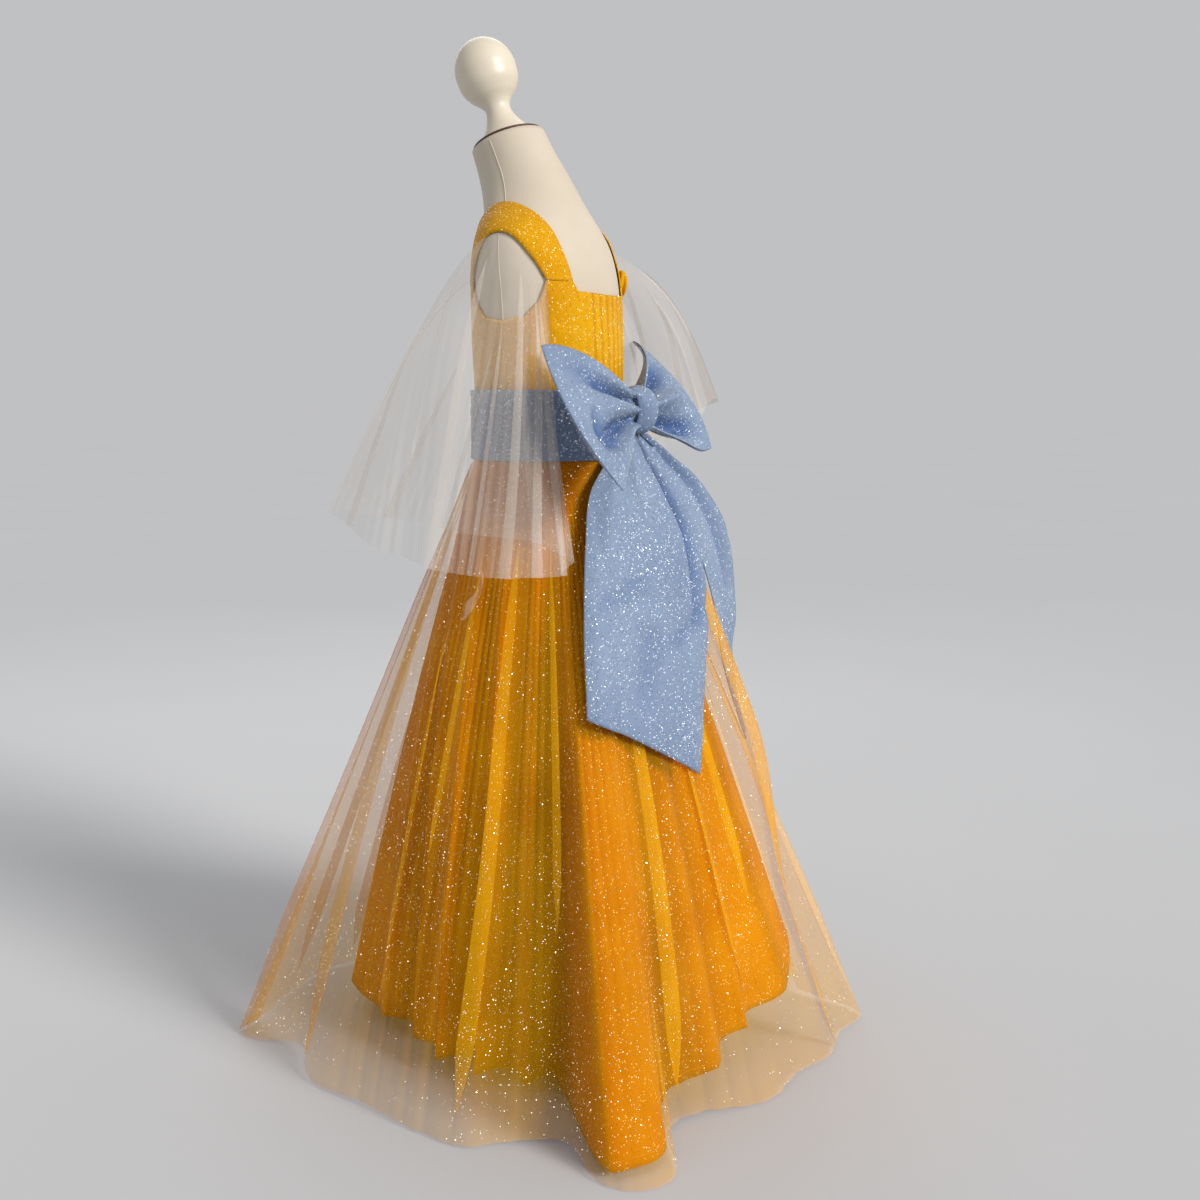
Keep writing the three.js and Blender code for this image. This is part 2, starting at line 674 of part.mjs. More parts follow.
// Knot: a short wrapped tube across the back, drawn in at its two mouths.
function addKnot() {
  const grid = Array.from({ length: KNOT_ROWS + 1 }, (_, row) => {
    const share = (2 * row) / KNOT_ROWS - 1;
    const drawn = KNOT.waistIn * share * share;
    return Array.from({ length: KNOT_COLUMNS }, (__, column) => {
      const turn = (column / KNOT_COLUMNS) * 2 * Math.PI;
      const y = KNOT.y + (KNOT.halfDepth - drawn) * Math.cos(turn);
      const z = KNOT.z + (KNOT.halfHeight - drawn) * Math.sin(turn);
      return new THREE.Vector3(KNOT.x + KNOT.halfLength * share, y, z);
    });
  });
  const inner = movedOut(grid, -RIBBON_WALL, true, -1);
  addPiece('bow_knot', 'blueSatin', wallGeometry(inner, grid, true));
}

// Loop: ribbon that leaves the knot, turns at its outer end and comes back, fanned out across.
function addLoop({ name, side, reach, rise, back, spread, tilt, puff, pinch }) {
  const start = Math.asin(LOOP_ROOT / reach) / Math.PI;
  const grid = makeGrid(LOOP_ROWS, LOOP_COLUMNS, (across, lengthwise) => {
    const turn = mix(start, 1 - start, lengthwise) * Math.PI;
    const out = Math.sin(turn);
    const opened = THREE.MathUtils.smoothstep(out ** LOOP_WIDENING, 0, 1);
    const width = mix(pinch, spread, opened);
    const lean = radians(tilt) * out;
    const depth = (puff / 2) * Math.sin(2 * turn);
    const drop = (across - 0.5) * width;
    return new THREE.Vector3(
      KNOT.x + side * reach * out,
      KNOT.y + LOOP_LIFT_OFF + back * out + drop * Math.sin(lean) + depth * Math.cos(lean),
      KNOT.z + rise * out - drop * Math.cos(lean) + depth * Math.sin(lean),
    );
  });
  addPiece(name, 'blueSatin', clothWall(grid, RIBBON_WALL));
}

// Tail: ribbon that leaves the knot's underside and stands off the tulle down to a slanted end.
function addTail({ name, endFrom, endTo, sections }) {
  const grid = makeGrid(TAIL_ROWS, TAIL_COLUMNS, (lengthwise, across) => {
    const z = mix(TAIL_TOP, mix(endFrom, endTo, across), lengthwise);
    const from = along(sections, 'z', 'from', z);
    const to = along(sections, 'z', 'to', z);
    const angle = mix(from, to, across);
    const off = mix(along(sections, 'z', 'offFrom', z), along(sections, 'z', 'offTo', z), across);
    return polar(tulleRadius(angle, Math.min(z, FLARE_FROM)) + off, angle, z);
  });
  addPiece(name, 'blueSatin', clothWall(grid, RIBBON_WALL));
}

// Point of the armhole that a sleeve is sewn to, just clear of the strap or of the bodice.
function armholePoint(turn) {
  if (turn <= 180) {
    const over = radians(turn);
    const [, outer] = strapEdges(over);
    const edge = shoulderPoint(outer, over);
    const outward = edge.clone().sub(shoulderPoint(outer - 1, over)).normalize();
    const upward = new THREE.Vector3(-outward.z, 0, outward.x).normalize();
    const lift = BODICE_STAND_OFF + BODICE_WALL;
    return edge.addScaledVector(outward, SLEEVE_CLEAR).addScaledVector(upward, lift);
  }
  const shoulder = BACK_EDGE.find(({ top }) => top === STRAP_SEAM).turn;
  const side = mix(shoulder, -shoulder, (turn - 180) / 180);
  const edge = BACK_EDGE.filter(({ turn: rowTurn }) => rowTurn <= shoulder);
  const z = along(edge, 'turn', 'top', Math.abs(side));
  return formPoint(side, z, BODICE_STAND_OFF + BODICE_WALL + SLEEVE_CLEAR);
}

// Sleeve: a bell from the armhole to the hem, gathered into waves that grow downwards.
function addSleeve({ name, side, hem }) {
  const closedHem = closedTable(hem, 'turn');
  const turns = Array.from({ length: SLEEVE_COLUMNS }, (_, column) => (column / SLEEVE_COLUMNS) * 360);
  const middle = new THREE.Vector3();
  hem.forEach(({ x, y, z }) => middle.add(new THREE.Vector3(x, y, z).divideScalar(hem.length)));
  const hemPoint = (turn) => new THREE.Vector3(
    along(closedHem, 'turn', 'x', turn),
    along(closedHem, 'turn', 'y', turn),
    along(closedHem, 'turn', 'z', turn),
  );
  const grid = Array.from({ length: SLEEVE_ROWS + 1 }, (_, row) => turns.map((turn) => {
    const fall = row / SLEEVE_ROWS;
    const end = hemPoint(turn);
    const outward = end.clone().sub(middle).setZ(0).normalize();
    const gather = mix(SLEEVE_GATHER_TOP, SLEEVE_GATHER_HEM, fall) * Math.cos(radians(turn * SLEEVE_GATHERS));
    const billow = SLEEVE_BILLOW * Math.max(0, Math.sin(radians(turn))) * Math.sin(Math.PI * fall);
    const point = armholePoint(turn).lerp(end, fall).addScaledVector(outward, gather * fall + billow);
    return new THREE.Vector3(side * point.x, point.y, point.z);
  }));
  addPiece(name, 'paleTulle', clothWall(grid, TULLE_WALL, true, side));
}

addStand(FORM_SECTIONS[0].z);
addTorso();
addNeckCap();
addBodiceHalf('bodice_front', FRONT_EDGE, -1, 0);
addBodiceHalf('bodice_back', BACK_EDGE, 1, SHIRR_RIDGE);
addStraps();
addSkirt('satin_gore', 'goldSatin', SATIN_SKIRT, satinRadius);
addSkirt('tulle_panel', 'goldTulle', TULLE_SKIRT, tulleRadius);
addSash();
addKnot();
LOOPS.forEach(addLoop);
TAILS.forEach(addTail);
SLEEVES.forEach(addSleeve);

export default gown;
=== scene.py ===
import math

import bmesh
import bpy
import numpy as np
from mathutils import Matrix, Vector


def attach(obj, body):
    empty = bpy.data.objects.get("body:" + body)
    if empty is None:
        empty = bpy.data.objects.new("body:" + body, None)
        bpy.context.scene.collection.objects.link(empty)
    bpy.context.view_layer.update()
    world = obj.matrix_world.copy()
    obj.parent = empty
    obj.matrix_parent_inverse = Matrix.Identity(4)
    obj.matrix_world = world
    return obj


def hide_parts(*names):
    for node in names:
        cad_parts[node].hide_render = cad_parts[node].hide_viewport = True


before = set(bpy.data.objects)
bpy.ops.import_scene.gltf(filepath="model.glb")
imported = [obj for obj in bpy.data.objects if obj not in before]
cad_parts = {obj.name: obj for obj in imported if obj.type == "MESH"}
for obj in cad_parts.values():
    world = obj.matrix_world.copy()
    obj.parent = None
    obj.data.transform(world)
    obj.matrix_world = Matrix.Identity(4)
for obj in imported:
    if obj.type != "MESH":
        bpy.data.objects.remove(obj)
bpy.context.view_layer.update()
print("frame loaded:", len(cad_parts), "nodes")

mm = 0.001  # every size below is in millimetres, meshes are in metres


# Shape helpers

def along(rows, column, place):
    # smooth curve through a table: cubic pieces whose end slopes come from each row's two neighbours
    key, value = rows[:, 0], rows[:, column]
    index = np.arange(len(key))
    before, after = np.maximum(index - 1, 0), np.minimum(index + 1, len(key) - 1)
    slope = (value[after] - value[before]) / (key[after] - key[before])
    row = np.clip(np.searchsorted(key, place) - 1, 0, len(key) - 2)
    span = key[row + 1] - key[row]
    t = np.clip((place - key[row]) / span, 0, 1)
    ease = t * t * (3 - 2 * t)
    level = value[row] * (1 - ease) + value[row + 1] * ease
    return level + span * (t * (1 - t) ** 2 * slope[row] - t * t * (1 - t) * slope[row + 1])


def closedRows(rows):
    # the same table with two rows repeated one turn away at each end
    turn = np.zeros(rows.shape[1])
    turn[0] = 360
    return np.vstack([rows[-2:] - turn, rows, rows[:2] + turn])


def smoothStep(low, high, value):
    t = np.clip((value - low) / (high - low), 0, 1)
    return t * t * (3 - 2 * t)


def hump(value, low, risen, falling, high):
    # rises from low to risen and falls from falling to high
    return smoothStep(low, risen, value) * (1 - smoothStep(falling, high, value))


def unit(vectors):
    # the same directions with length one
    return vectors / np.maximum(np.linalg.norm(vectors, axis=-1, keepdims=True), 1e-9)


def ripple(seed, waves, low, high, turn):
    # uneven wave round a full turn: a sum of cosines with whole wave numbers between low and high
    rng = np.random.default_rng(seed)
    numbers = rng.integers(low, high + 1, waves)
    phases = rng.uniform(0, 2 * np.pi, waves)
    total = sum(np.cos(n * turn + p) for n, p in zip(numbers, phases))
    return total / math.sqrt(waves)


def creaseField(creases, lengthwise, across):
    # troughs and ridges: a bell curve of the distance to a straight line, tapered towards both its ends
    total = np.zeros(np.broadcast_shapes(np.shape(lengthwise), np.shape(across)))
    for startU, startV, endU, endV, height, width in creases:
        runU, runV = endU - startU, endV - startV
        t = ((lengthwise - startU) * runU + (across - startV) * runV) / (runU * runU + runV * runV)
        off = np.hypot(lengthwise - startU - t * runU, across - startV - t * runV)
        total = total + height * np.exp(-(off / width) ** 2) * hump(t, -0.15, 0.25, 0.7, 1.15)
    return total


pleatShape = {"wander": 0.12, "wanders": 7, "slant": 2.6, "edgeAt": 0.37, "edgeSoft": 0.06}


def pleatFolds(pleats, place, share):
    # a pleat runs the cloth back on itself and steps it outwards, so that three layers lie on each other;
    # gives the shift along the cloth, the step in millimetres and how near a folded edge is
    shift = np.zeros(np.broadcast_shapes(place.shape, share.shape))
    step, edge = shift.copy(), shift.copy()
    for middle, drift, width, overlap, depth, first, last in pleats:
        line = middle + drift * share
        line = line + pleatShape["wander"] * width * np.sin(pleatShape["wanders"] * share + middle)
        s = np.clip((np.mod(place - line + 180, 360) - 180) / width, -1, 1)
        held = hump(share, first, first + 0.25, last - 0.2, last)
        shift -= overlap * np.sin(np.pi * s) * held
        step += (abs(depth) * (1 - s * s) ** 2 - pleatShape["slant"] * depth * s * (1 - s * s)) * held
        edge += np.exp(-((np.abs(s) - pleatShape["edgeAt"]) / pleatShape["edgeSoft"]) ** 2) * held
    return shift, step, np.clip(edge, 0, 1)


def shadeInHollows(height, depth):
    # how far a place lies below the broad swell of its row, which is its first few waves round the turn; it
    # sets painted shade in the hollows
    broadWaves = 6
    waves = np.fft.rfft(height, axis=1)
    waves[:, broadWaves:] = 0
    return np.clip((np.fft.irfft(waves, height.shape[1], axis=1) - height) / depth, 0, 1)


def surfaceNormals(points):
    # cross product of the two grid directions: down the rows, round the columns
    return unit(np.cross(np.gradient(points, axis=0), np.gradient(points, axis=1)))


def mirrored(points):
    # the same grid on the other side, with its columns turned round so that it still faces outwards
    return points[:, ::-1] * (-1, 1, 1)


def meshObject(name, points, faces):
    mesh = bpy.data.meshes.new(name)
    mesh.from_pydata(points.tolist(), [], faces.tolist())
    mesh.polygons.foreach_set("use_smooth", np.ones(len(mesh.polygons), dtype=bool))
    mesh.update()
    obj = bpy.data.objects.new(name, mesh)
    bpy.context.scene.collection.objects.link(obj)
    return obj


def gridObject(name, points, ring=False, **marks):
    # quads over a grid of points in millimetres; a ring joins the last column to the first
    rowCount, columnCount = points.shape[:2]
    used = np.arange(columnCount if ring else columnCount - 1)
    follow = (used + 1) % columnCount
    row = np.arange(rowCount - 1)[:, None] * columnCount
    corners = [row + used, row + columnCount + used, row + columnCount + follow, row + follow]
    obj = meshObject(name, points.reshape(-1, 3) * mm, np.stack(corners, axis=2).reshape(-1, 4))
    for mark, values in marks.items():  # numbers on the cloth that its finish reads
        layer = obj.data.attributes.new(mark, "FLOAT", "POINT")
        layer.data.foreach_set("value", np.broadcast_to(values, points.shape[:2]).ravel().astype(np.float32))
    if "density" in marks:
        addNet(obj.data, points)
    return obj


def addNet(mesh, points):
    # lengths along the cloth as its UV map
    runU = np.linalg.norm(np.diff(points, axis=1, prepend=points[:, :1]), axis=2).mean(axis=0).cumsum()
    runV = np.linalg.norm(np.diff(points, axis=0, prepend=points[:1]), axis=2).mean(axis=1).cumsum()
    places = np.stack(np.meshgrid(runU * mm, runV * mm), axis=2).reshape(-1, 2)
    corner = np.empty(len(mesh.loops), dtype=np.int32)
    mesh.loops.foreach_get("vertex_index", corner)
    mesh.uv_layers.new(name="net").data.foreach_set("uv", places[corner].ravel().astype(np.float32))


def thicken(obj, wall, offset=-1):
    # wall of even thickness, grown inwards from the face, or to both sides of it at offset 0
    shell = obj.modifiers.new("wall", "SOLIDIFY")
    shell.thickness = wall * mm
    shell.offset = offset
    return obj


def weld(obj):
    # closes poles and doubled points, then turns every face outwards
    work = bmesh.new()
    work.from_mesh(obj.data)
    bmesh.ops.remove_doubles(work, verts=work.verts, dist=0.00001)
    bmesh.ops.recalc_face_normals(work, faces=work.faces)
    work.to_mesh(obj.data)
    work.free()
    return obj


def revolve(name, profile, segments, lean=0.0, foot=(0, 0, 0)):
    # profile of (radius, height) turned round the z axis, then leaned forward about its foot
    turn = np.linspace(0, 2 * np.pi, segments, endpoint=False)
    radius, height = profile[:, 0, None], profile[:, 1, None]
    x, y = radius * np.cos(turn), radius * np.sin(turn)
    z = np.broadcast_to(height, x.shape)
    leanedY = y * math.cos(lean) - z * math.sin(lean)
    leanedZ = y * math.sin(lean) + z * math.cos(lean)
    return weld(gridObject(name, np.stack([x, leanedY, leanedZ], axis=2) + np.array(foot), ring=True))


def tubeObject(name, path, radius, sides=8):
    # round bead along a seam: circles set square to the path, drawn in to a point at both ends
    slanting = (0.31, 0.17, 0.94)  # a direction that no seam follows
    point = 0.05
    ahead = unit(np.gradient(path, axis=0))
    side = unit(np.cross(ahead, slanting))
    other = np.cross(ahead, side)
    turn = np.linspace(0, 2 * np.pi, sides, endpoint=False)[None, :, None]
    taper = np.full(len(path), radius)
    taper[[0, -1]] = point
    spoke = side[:, None] * np.cos(turn) + other[:, None] * np.sin(turn)
    points = path[:, None] + spoke * taper[:, None, None]
    return weld(gridObject(name, points, ring=True))


def pinchedEgg(name, shape, middle, axes):
    # egg with pinched sides; its half sizes run along the first two axes and, from end to end, the third
    share = np.linspace(0, np.pi, shape["rows"])[:, None]
    turn = np.linspace(0, 2 * np.pi, shape["columns"], endpoint=False)
    pinch = np.cos(shape["pinches"] * turn + shape["twist"] * np.cos(share))
    pinch = 1 + shape["pinch"] * pinch * np.sin(share)
    halfWidth, halfDepth, halfLength = shape["half"]
    sizes = (halfWidth * np.sin(share) * np.cos(turn) * pinch,
             halfDepth * np.sin(share) * np.sin(turn) * pinch,
             halfLength * np.cos(share) + 0 * turn)
    points = middle + sum(size[..., None] * np.array(axis) for size, axis in zip(sizes, axes))
    return weld(gridObject(name, points, ring=True))


def finishPiece(obj, material, nodes=()):
    obj.data.materials.append(material)
    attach(obj, "root")
    if nodes:
        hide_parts(*nodes)


# Shader helpers

class Wire:
    # one socket's value; sums on it add Math nodes
    def __init__(self, tree, socket):
        self.tree = tree
        self.socket = socket

    def sum(self, operation, first, second):
        node = self.tree.nodes.new("ShaderNodeMath")
        node.operation = operation
        for place, value in zip(node.inputs, (first, second)):
            plug(self.tree, place, value)
        return Wire(self.tree, node.outputs[0])

    def __add__(self, other):
        return self.sum("ADD", self, other)

    def __radd__(self, other):
        return self.sum("ADD", other, self)

    def __sub__(self, other):
        return self.sum("SUBTRACT", self, other)

    def __rsub__(self, other):
        return self.sum("SUBTRACT", other, self)

    def __mul__(self, other):
        return self.sum("MULTIPLY", self, other)

    def __rmul__(self, other):
        return self.sum("MULTIPLY", other, self)

    def __gt__(self, other):
        return self.sum("GREATER_THAN", self, other)

    def __lt__(self, other):
        return self.sum("LESS_THAN", self, other)

    def fraction(self):
        return self.sum("FRACT", self, 0.0)


def plug(tree, place, value):
    if isinstance(value, Wire):
        tree.links.new(value.socket, place)
    else:
        place.default_value = value


class Finish:
    # one material: its principled shader and a method that adds any node
    def __init__(self, name, **constants):
        self.material = bpy.data.materials.new(name)
        self.material.use_nodes = True
        self.tree = self.material.node_tree
        self.shader = self.tree.nodes["Principled BSDF"]
        for socketName, value in constants.items():
            self.set(socketName, value)

    def set(self, socketName, value):
        plug(self.tree, self.shader.inputs[socketName.replace("_", " ")], value)

    def add(self, kind, settings=None, values=None, output=0):
        node = self.tree.nodes.new(kind)
        for key, value in (settings or {}).items():
            if key == "stops":
                while len(node.color_ramp.elements) < len(value):
                    node.color_ramp.elements.new(1)
                for stop, (place, colour) in zip(node.color_ramp.elements, value):
                    stop.position = place
                    stop.color = (*colour, 1)
            else:
                setattr(node, key, value)
        for key, value in (values or {}).items():
            plug(self.tree, node.inputs[key], value)
        return Wire(self.tree, node.outputs[output])

    def place(self):
        return self.add("ShaderNodeTexCoord", output="Object")

    def noise(self, scale, detail=2.0):
        values = {"Vector": self.place(), "Scale": scale, "Detail": detail}
        return self.add("ShaderNodeTexNoise", None, values)

    def cells(self, scale, output="Distance"):
        values = {"Vector": self.place(), "Scale": scale}
        return self.add("ShaderNodeTexVoronoi", None, values, output)

    def clamp(self, value):
        return self.add("ShaderNodeClamp", None, {"Value": value})

    def blend(self, share, first, second):
        return self.add("ShaderNodeMix", {"data_type": "RGBA"}, {0: share, 6: first, 7: second}, 2)

    def ramp(self, share, *stops):
        return self.add("ShaderNodeValToRGB", {"stops": stops}, {"Fac": share})

    def bump(self, height, strength, distance):
        values = {"Height": height, "Strength": strength, "Distance": distance}
        self.set("Normal", self.add("ShaderNodeBump", None, values))


# Finishes

foil = {  # dots to the metre, how far each kind reaches, and which share of the dots is dark or bright
    "scale": 430.0, "darkReach": 0.36, "darkFrom": 0.58, "brightReach": 0.34, "brightTo": 0.18,
}


def glitterSatin(name, hollow, deep, body, light, speckDark, speckBright):
    # satin printed with fine foil dots, dark ones and bright ones; its colour drifts, and painted shade
    # darkens it in hollows
    finish = Finish(name, Specular_IOR_Level=0.35, Specular_Tint=(*light, 1))
    cloth = finish.ramp(finish.noise(7.0, 3.0), (0.3, deep), (0.52, body), (0.75, light))
    # painted shade: a mark on the mesh blends the colour towards a dark colour in the hollows of folds and
    # creases
    low = finish.add("ShaderNodeAttribute", {"attribute_name": "hollow"}, output="Fac")
    cloth = finish.blend(low * 0.85, cloth, (*hollow, 1))
    dots = finish.cells(foil["scale"])
    tone = finish.add("ShaderNodeSeparateColor", None, {"Color": finish.cells(foil["scale"], output="Color")})
    dark = finish.clamp((foil["darkReach"] - dots) * 7.0) * (tone > foil["darkFrom"])
    cloth = finish.blend(dark * 0.6, cloth, (*speckDark, 1))
    bright = finish.clamp((foil["brightReach"] - dots) * 8.0) * (tone < foil["brightTo"])
    cloth = finish.blend(bright * 0.9, cloth, (*speckBright, 1))
    finish.set("Base_Color", cloth)
    finish.set("Roughness", 0.46 - bright * 0.22 + finish.noise(60.0, 2.0) * 0.08)
    finish.bump(finish.noise(1500.0, 2.0) + dots * 0.6, 0.16, 0.0005)
    return finish.material


net = {"thread": 0.24, "open": 0.5, "woven": 0.7, "drift": 0.4, "close": 0.42}


def sheerNet(name, body, thread, cover, pitch):
    # fine net: alpha rises on two sets of slanting threads, in slow drifts and wherever the net lies together
    finish = Finish(name, Roughness=0.75, Specular_IOR_Level=0.1)
    cloth = {"Vector": finish.add("ShaderNodeUVMap", {"uv_map": "net"})}
    u = finish.add("ShaderNodeSeparateXYZ", None, cloth, "X")
    v = finish.add("ShaderNodeSeparateXYZ", None, cloth, "Y")
    threads = [(slant * pitch).fraction() < net["thread"] for slant in (u + v, u - v)]
    drift = finish.noise(14.0, 1.0)
    close = finish.add("ShaderNodeAttribute", {"attribute_name": "density"}, output="Fac")
    finish.set("Base_Color", finish.blend(drift, (*body, 1), (*thread, 1)))
    woven = net["open"] + finish.clamp(threads[0] + threads[1]) * net["woven"] + drift * net["drift"]
    finish.set("Alpha", finish.clamp(woven * cover + close * net["close"]))
    return finish.material


def sparkle(name, colour, paintedGlint):
    # cut foil flake whose colour differs from flake to flake; the same colour lights it as emission, a
    # painted glint
    finish = Finish(name, Metallic=0.7, Roughness=0.25, Emission_Strength=paintedGlint)
    flakeToneAndGlint = finish.ramp(finish.noise(300.0, 0.0), (0.38, [v * 0.15 for v in colour]), (0.62, colour))
    finish.set("Base_Color", flakeToneAndGlint)
    finish.set("Emission_Color", flakeToneAndGlint)
    return finish.material


def jersey(name, deep, light):
    # stretched knit: fine loops and a little mottling
    finish = Finish(name, Sheen_Weight=0.12, Sheen_Roughness=0.5)
    drift = finish.noise(12.0, 4.0)
    finish.set("Base_Color", finish.ramp(drift, (0.3, deep), (0.7, light)))
    finish.set("Roughness", 0.72 + drift * 0.12)
    finish.bump(finish.cells(1000.0) + drift * 0.4, 0.22, 0.0004)
    return finish.material


def paint(name, deep, light, rough):
    finish = Finish(name)
    drift = finish.noise(20.0, 4.0)
    finish.set("Base_Color", finish.ramp(drift, (0.3, deep), (0.7, light)))
    finish.set("Roughness", rough + drift * 0.12)
    finish.bump(finish.noise(220.0, 3.0), 0.05, 0.0006)
    return finish.material


# each satin's first colour is the painted shade that fills its hollows
skirtSatin = glitterSatin("skirtSatin", (0.2, 0.022, 0.001), (0.4, 0.075, 0.001), (0.52, 0.125, 0.001),
                          (0.64, 0.2, 0.002), (0.15, 0.027, 0.001), (1.0, 0.75, 0.25))
bodiceSatin = glitterSatin("bodiceSatin", (0.38, 0.11, 0.002), (0.52, 0.23, 0.003), (0.6, 0.3, 0.005),
                           (0.68, 0.37, 0.009), (0.24, 0.08, 0.001), (1.0, 0.85, 0.4))
blueSatin = glitterSatin("blueSatin", (0.045, 0.095, 0.24), (0.145, 0.2, 0.31), (0.19, 0.25, 0.36),
                         (0.24, 0.3, 0.41), (0.035, 0.06, 0.15), (0.85, 0.92, 1.0))
goldTulle = sheerNet("goldTulle", (0.75, 0.36, 0.002), (0.85, 0.46, 0.005), 0.27, 800.0)
paleTulle = sheerNet("paleTulle", (0.62, 0.56, 0.5), (0.72, 0.67, 0.62), 0.18, 700.0)
# the last number of each is the strength of its painted glint
goldSparkle = sparkle("goldSparkle", (1.0, 0.84, 0.45), 1.2)
whiteSparkle = sparkle("whiteSparkle", (1.0, 0.97, 0.9), 1.4)
goldThread = paint("goldThread", (0.62, 0.2, 0.004), (0.75, 0.28, 0.008), 0.5)
blueThread = paint("blueThread", (0.12, 0.22, 0.45), (0.17, 0.29, 0.54), 0.5)
ivoryJersey = jersey("ivoryJersey", (0.5, 0.43, 0.34), (0.55, 0.485, 0.39))
ivoryPaint = paint("ivoryPaint", (0.61, 0.54, 0.43), (0.65, 0.585, 0.475), 0.32)
darkPaint = paint("darkPaint", (0.02, 0.018, 0.016), (0.035, 0.032, 0.03), 0.4)
darkBrownRing = paint("darkBrownRing", (0.05, 0.018, 0.01), (0.08, 0.03, 0.018), 0.5)
print("finishes made")


# Dress form and stand

form = {
    "sections": np.array([  # height, half width, half depth, middle along y, forward tilt in degrees
        (565, 98, 84, 2, 0), (600, 103, 87, 3, 0), (645, 100, 84, 1, 0), (690, 93, 80, 0, 0),
        (728, 91, 79, 0, 0), (770, 93, 79, 0, 0), (820, 97, 79, -1, 0), (870, 100.5, 77, -2, 0),
        (905, 102, 72, -4, 0), (930, 98, 65, -6, 0), (948, 86, 60, -9.5, 0), (962, 72, 57, -14, 1),
        (980, 58, 54.5, -22, 4), (1000, 48.5, 51, -31, 9), (1022, 43.5, 46.5, -42, 14),
        (1046, 42.5, 43, -53, 20),
    ], dtype=float),
    "rows": 130, "columns": 128,
    "endRings": (0.0, 0.5, 0.9, 0.97),  # share of the end faces' radius, from their middle
    "seam": {"radius": 0.7, "from": 700, "to": 1044, "steps": 90},
}


def formSection(z):
    return [along(form["sections"], column, z) for column in (1, 2, 3)]


def formPoint(turn, z, standOff):
    # point of the level ellipse at a turn in radians, moved out along the ellipse's normal
    halfWidth, halfDepth, middle = formSection(z)
    cos, sin = np.cos(turn), np.sin(turn)
    length = np.hypot(cos / halfWidth, sin / halfDepth)
    x = halfWidth * cos + standOff * cos / halfWidth / length
    y = middle + halfDepth * sin + standOff * sin / halfDepth / length
    return np.stack(np.broadcast_arrays(x, y, z), axis=-1)


def tiltedRing(z, turn, grow):
    # level ellipses, tilted forward towards the neck and shrunk to close an end
    halfWidth, halfDepth, middle = formSection(z)
    tilt = np.radians(along(form["sections"], 4, z))
    across = halfDepth * np.sin(turn) * grow
    x = halfWidth * np.cos(turn) * grow
    y = middle + across * np.cos(tilt)
    level = z + across * np.sin(tilt)
    return np.stack(np.broadcast_arrays(x, y, level), axis=-1)


def makeTorso():
    low, high = form["sections"][0, 0], form["sections"][-1, 0]
    ends = np.array(form["endRings"])
    sides = np.linspace(low, high, form["rows"])
    z = np.concatenate([np.full(len(ends), low), sides, np.full(len(ends), high)])
    grow = np.concatenate([ends, np.ones(form["rows"]), ends[::-1]])
    turn = np.linspace(0, 2 * np.pi, form["columns"], endpoint=False)
    torso = weld(gridObject("formTorso", tiltedRing(z[:, None], turn, grow[:, None]), ring=True))
    finishPiece(torso, ivoryJersey, ["form_torso"])
    seam = form["seam"]
    for name, turn in (("formSeamLeft", 0.0), ("formSeamRight", np.pi)):  # the cover's side seams
        path = tiltedRing(np.linspace(seam["from"], seam["to"], seam["steps"]), np.array(turn), 1.0)
        finishPiece(tubeObject(name, path, seam["radius"]), ivoryJersey)


cap = {
    "profile": np.array([  # height above the neck, radius, up to the widest place of the ball
        (4, 31), (10.5, 27), (21, 20), (31.5, 15.5), (40, 14.5), (47, 18), (56, 26.5), (68, 33.5), (84, 35.6),
    ]),
    "steps": 70, "segments": 72,
    "footRadius": 31, "footEdge": 0.8, "top": 124, "gap": 0.4,
    "ring": np.array([(28, 0), (40, 0), (40.8, 0.8), (40.8, 2.4), (40, 3.2), (28, 3.2), (28, 0)]),  # dark brown ring where the cap meets the neck
}


def makeNeckCap():
    # waisted foot and ball: a smooth curve up to the ball's widest place, then half an ellipse to the top
    neck = form["sections"][-1]
    lean = math.radians(neck[4])
    foot = (0, neck[3] - cap["gap"] * math.sin(lean), neck[0] + cap["gap"] * math.cos(lean))
    rows = cap["profile"]
    height = np.linspace(rows[0, 0], rows[-1, 0], cap["steps"])
    side = np.stack([along(rows, 1, height), height], axis=1)
    turn = np.linspace(0, np.pi / 2, cap["steps"] // 2)[1:]
    ballLevel, ballRadius = rows[-1]
    crown = np.stack([ballRadius * np.cos(turn), ballLevel + (cap["top"] - ballLevel) * np.sin(turn)], axis=1)
    radius, edge = cap["footRadius"], cap["footEdge"]
    base = [(0, 0), (radius - edge, 0), (radius, edge)]
    knob = revolve("formNeckCap", np.vstack([base, side, crown]), cap["segments"], lean, foot)
    finishPiece(knob, ivoryPaint, ["form_neck_cap"])
    finishPiece(revolve("neckRing", cap["ring"], cap["segments"], lean, foot), darkBrownRing)


stand = {
    "radius": 125, "height": 12, "bevel": 3, "footBevel": 1, "topRing": 60, "segments": 96,
    "poleRadius": 15, "poleTop": 564.6, "poleBevel": 0.5, "poleSegments": 48, "gap": 0.4,
}


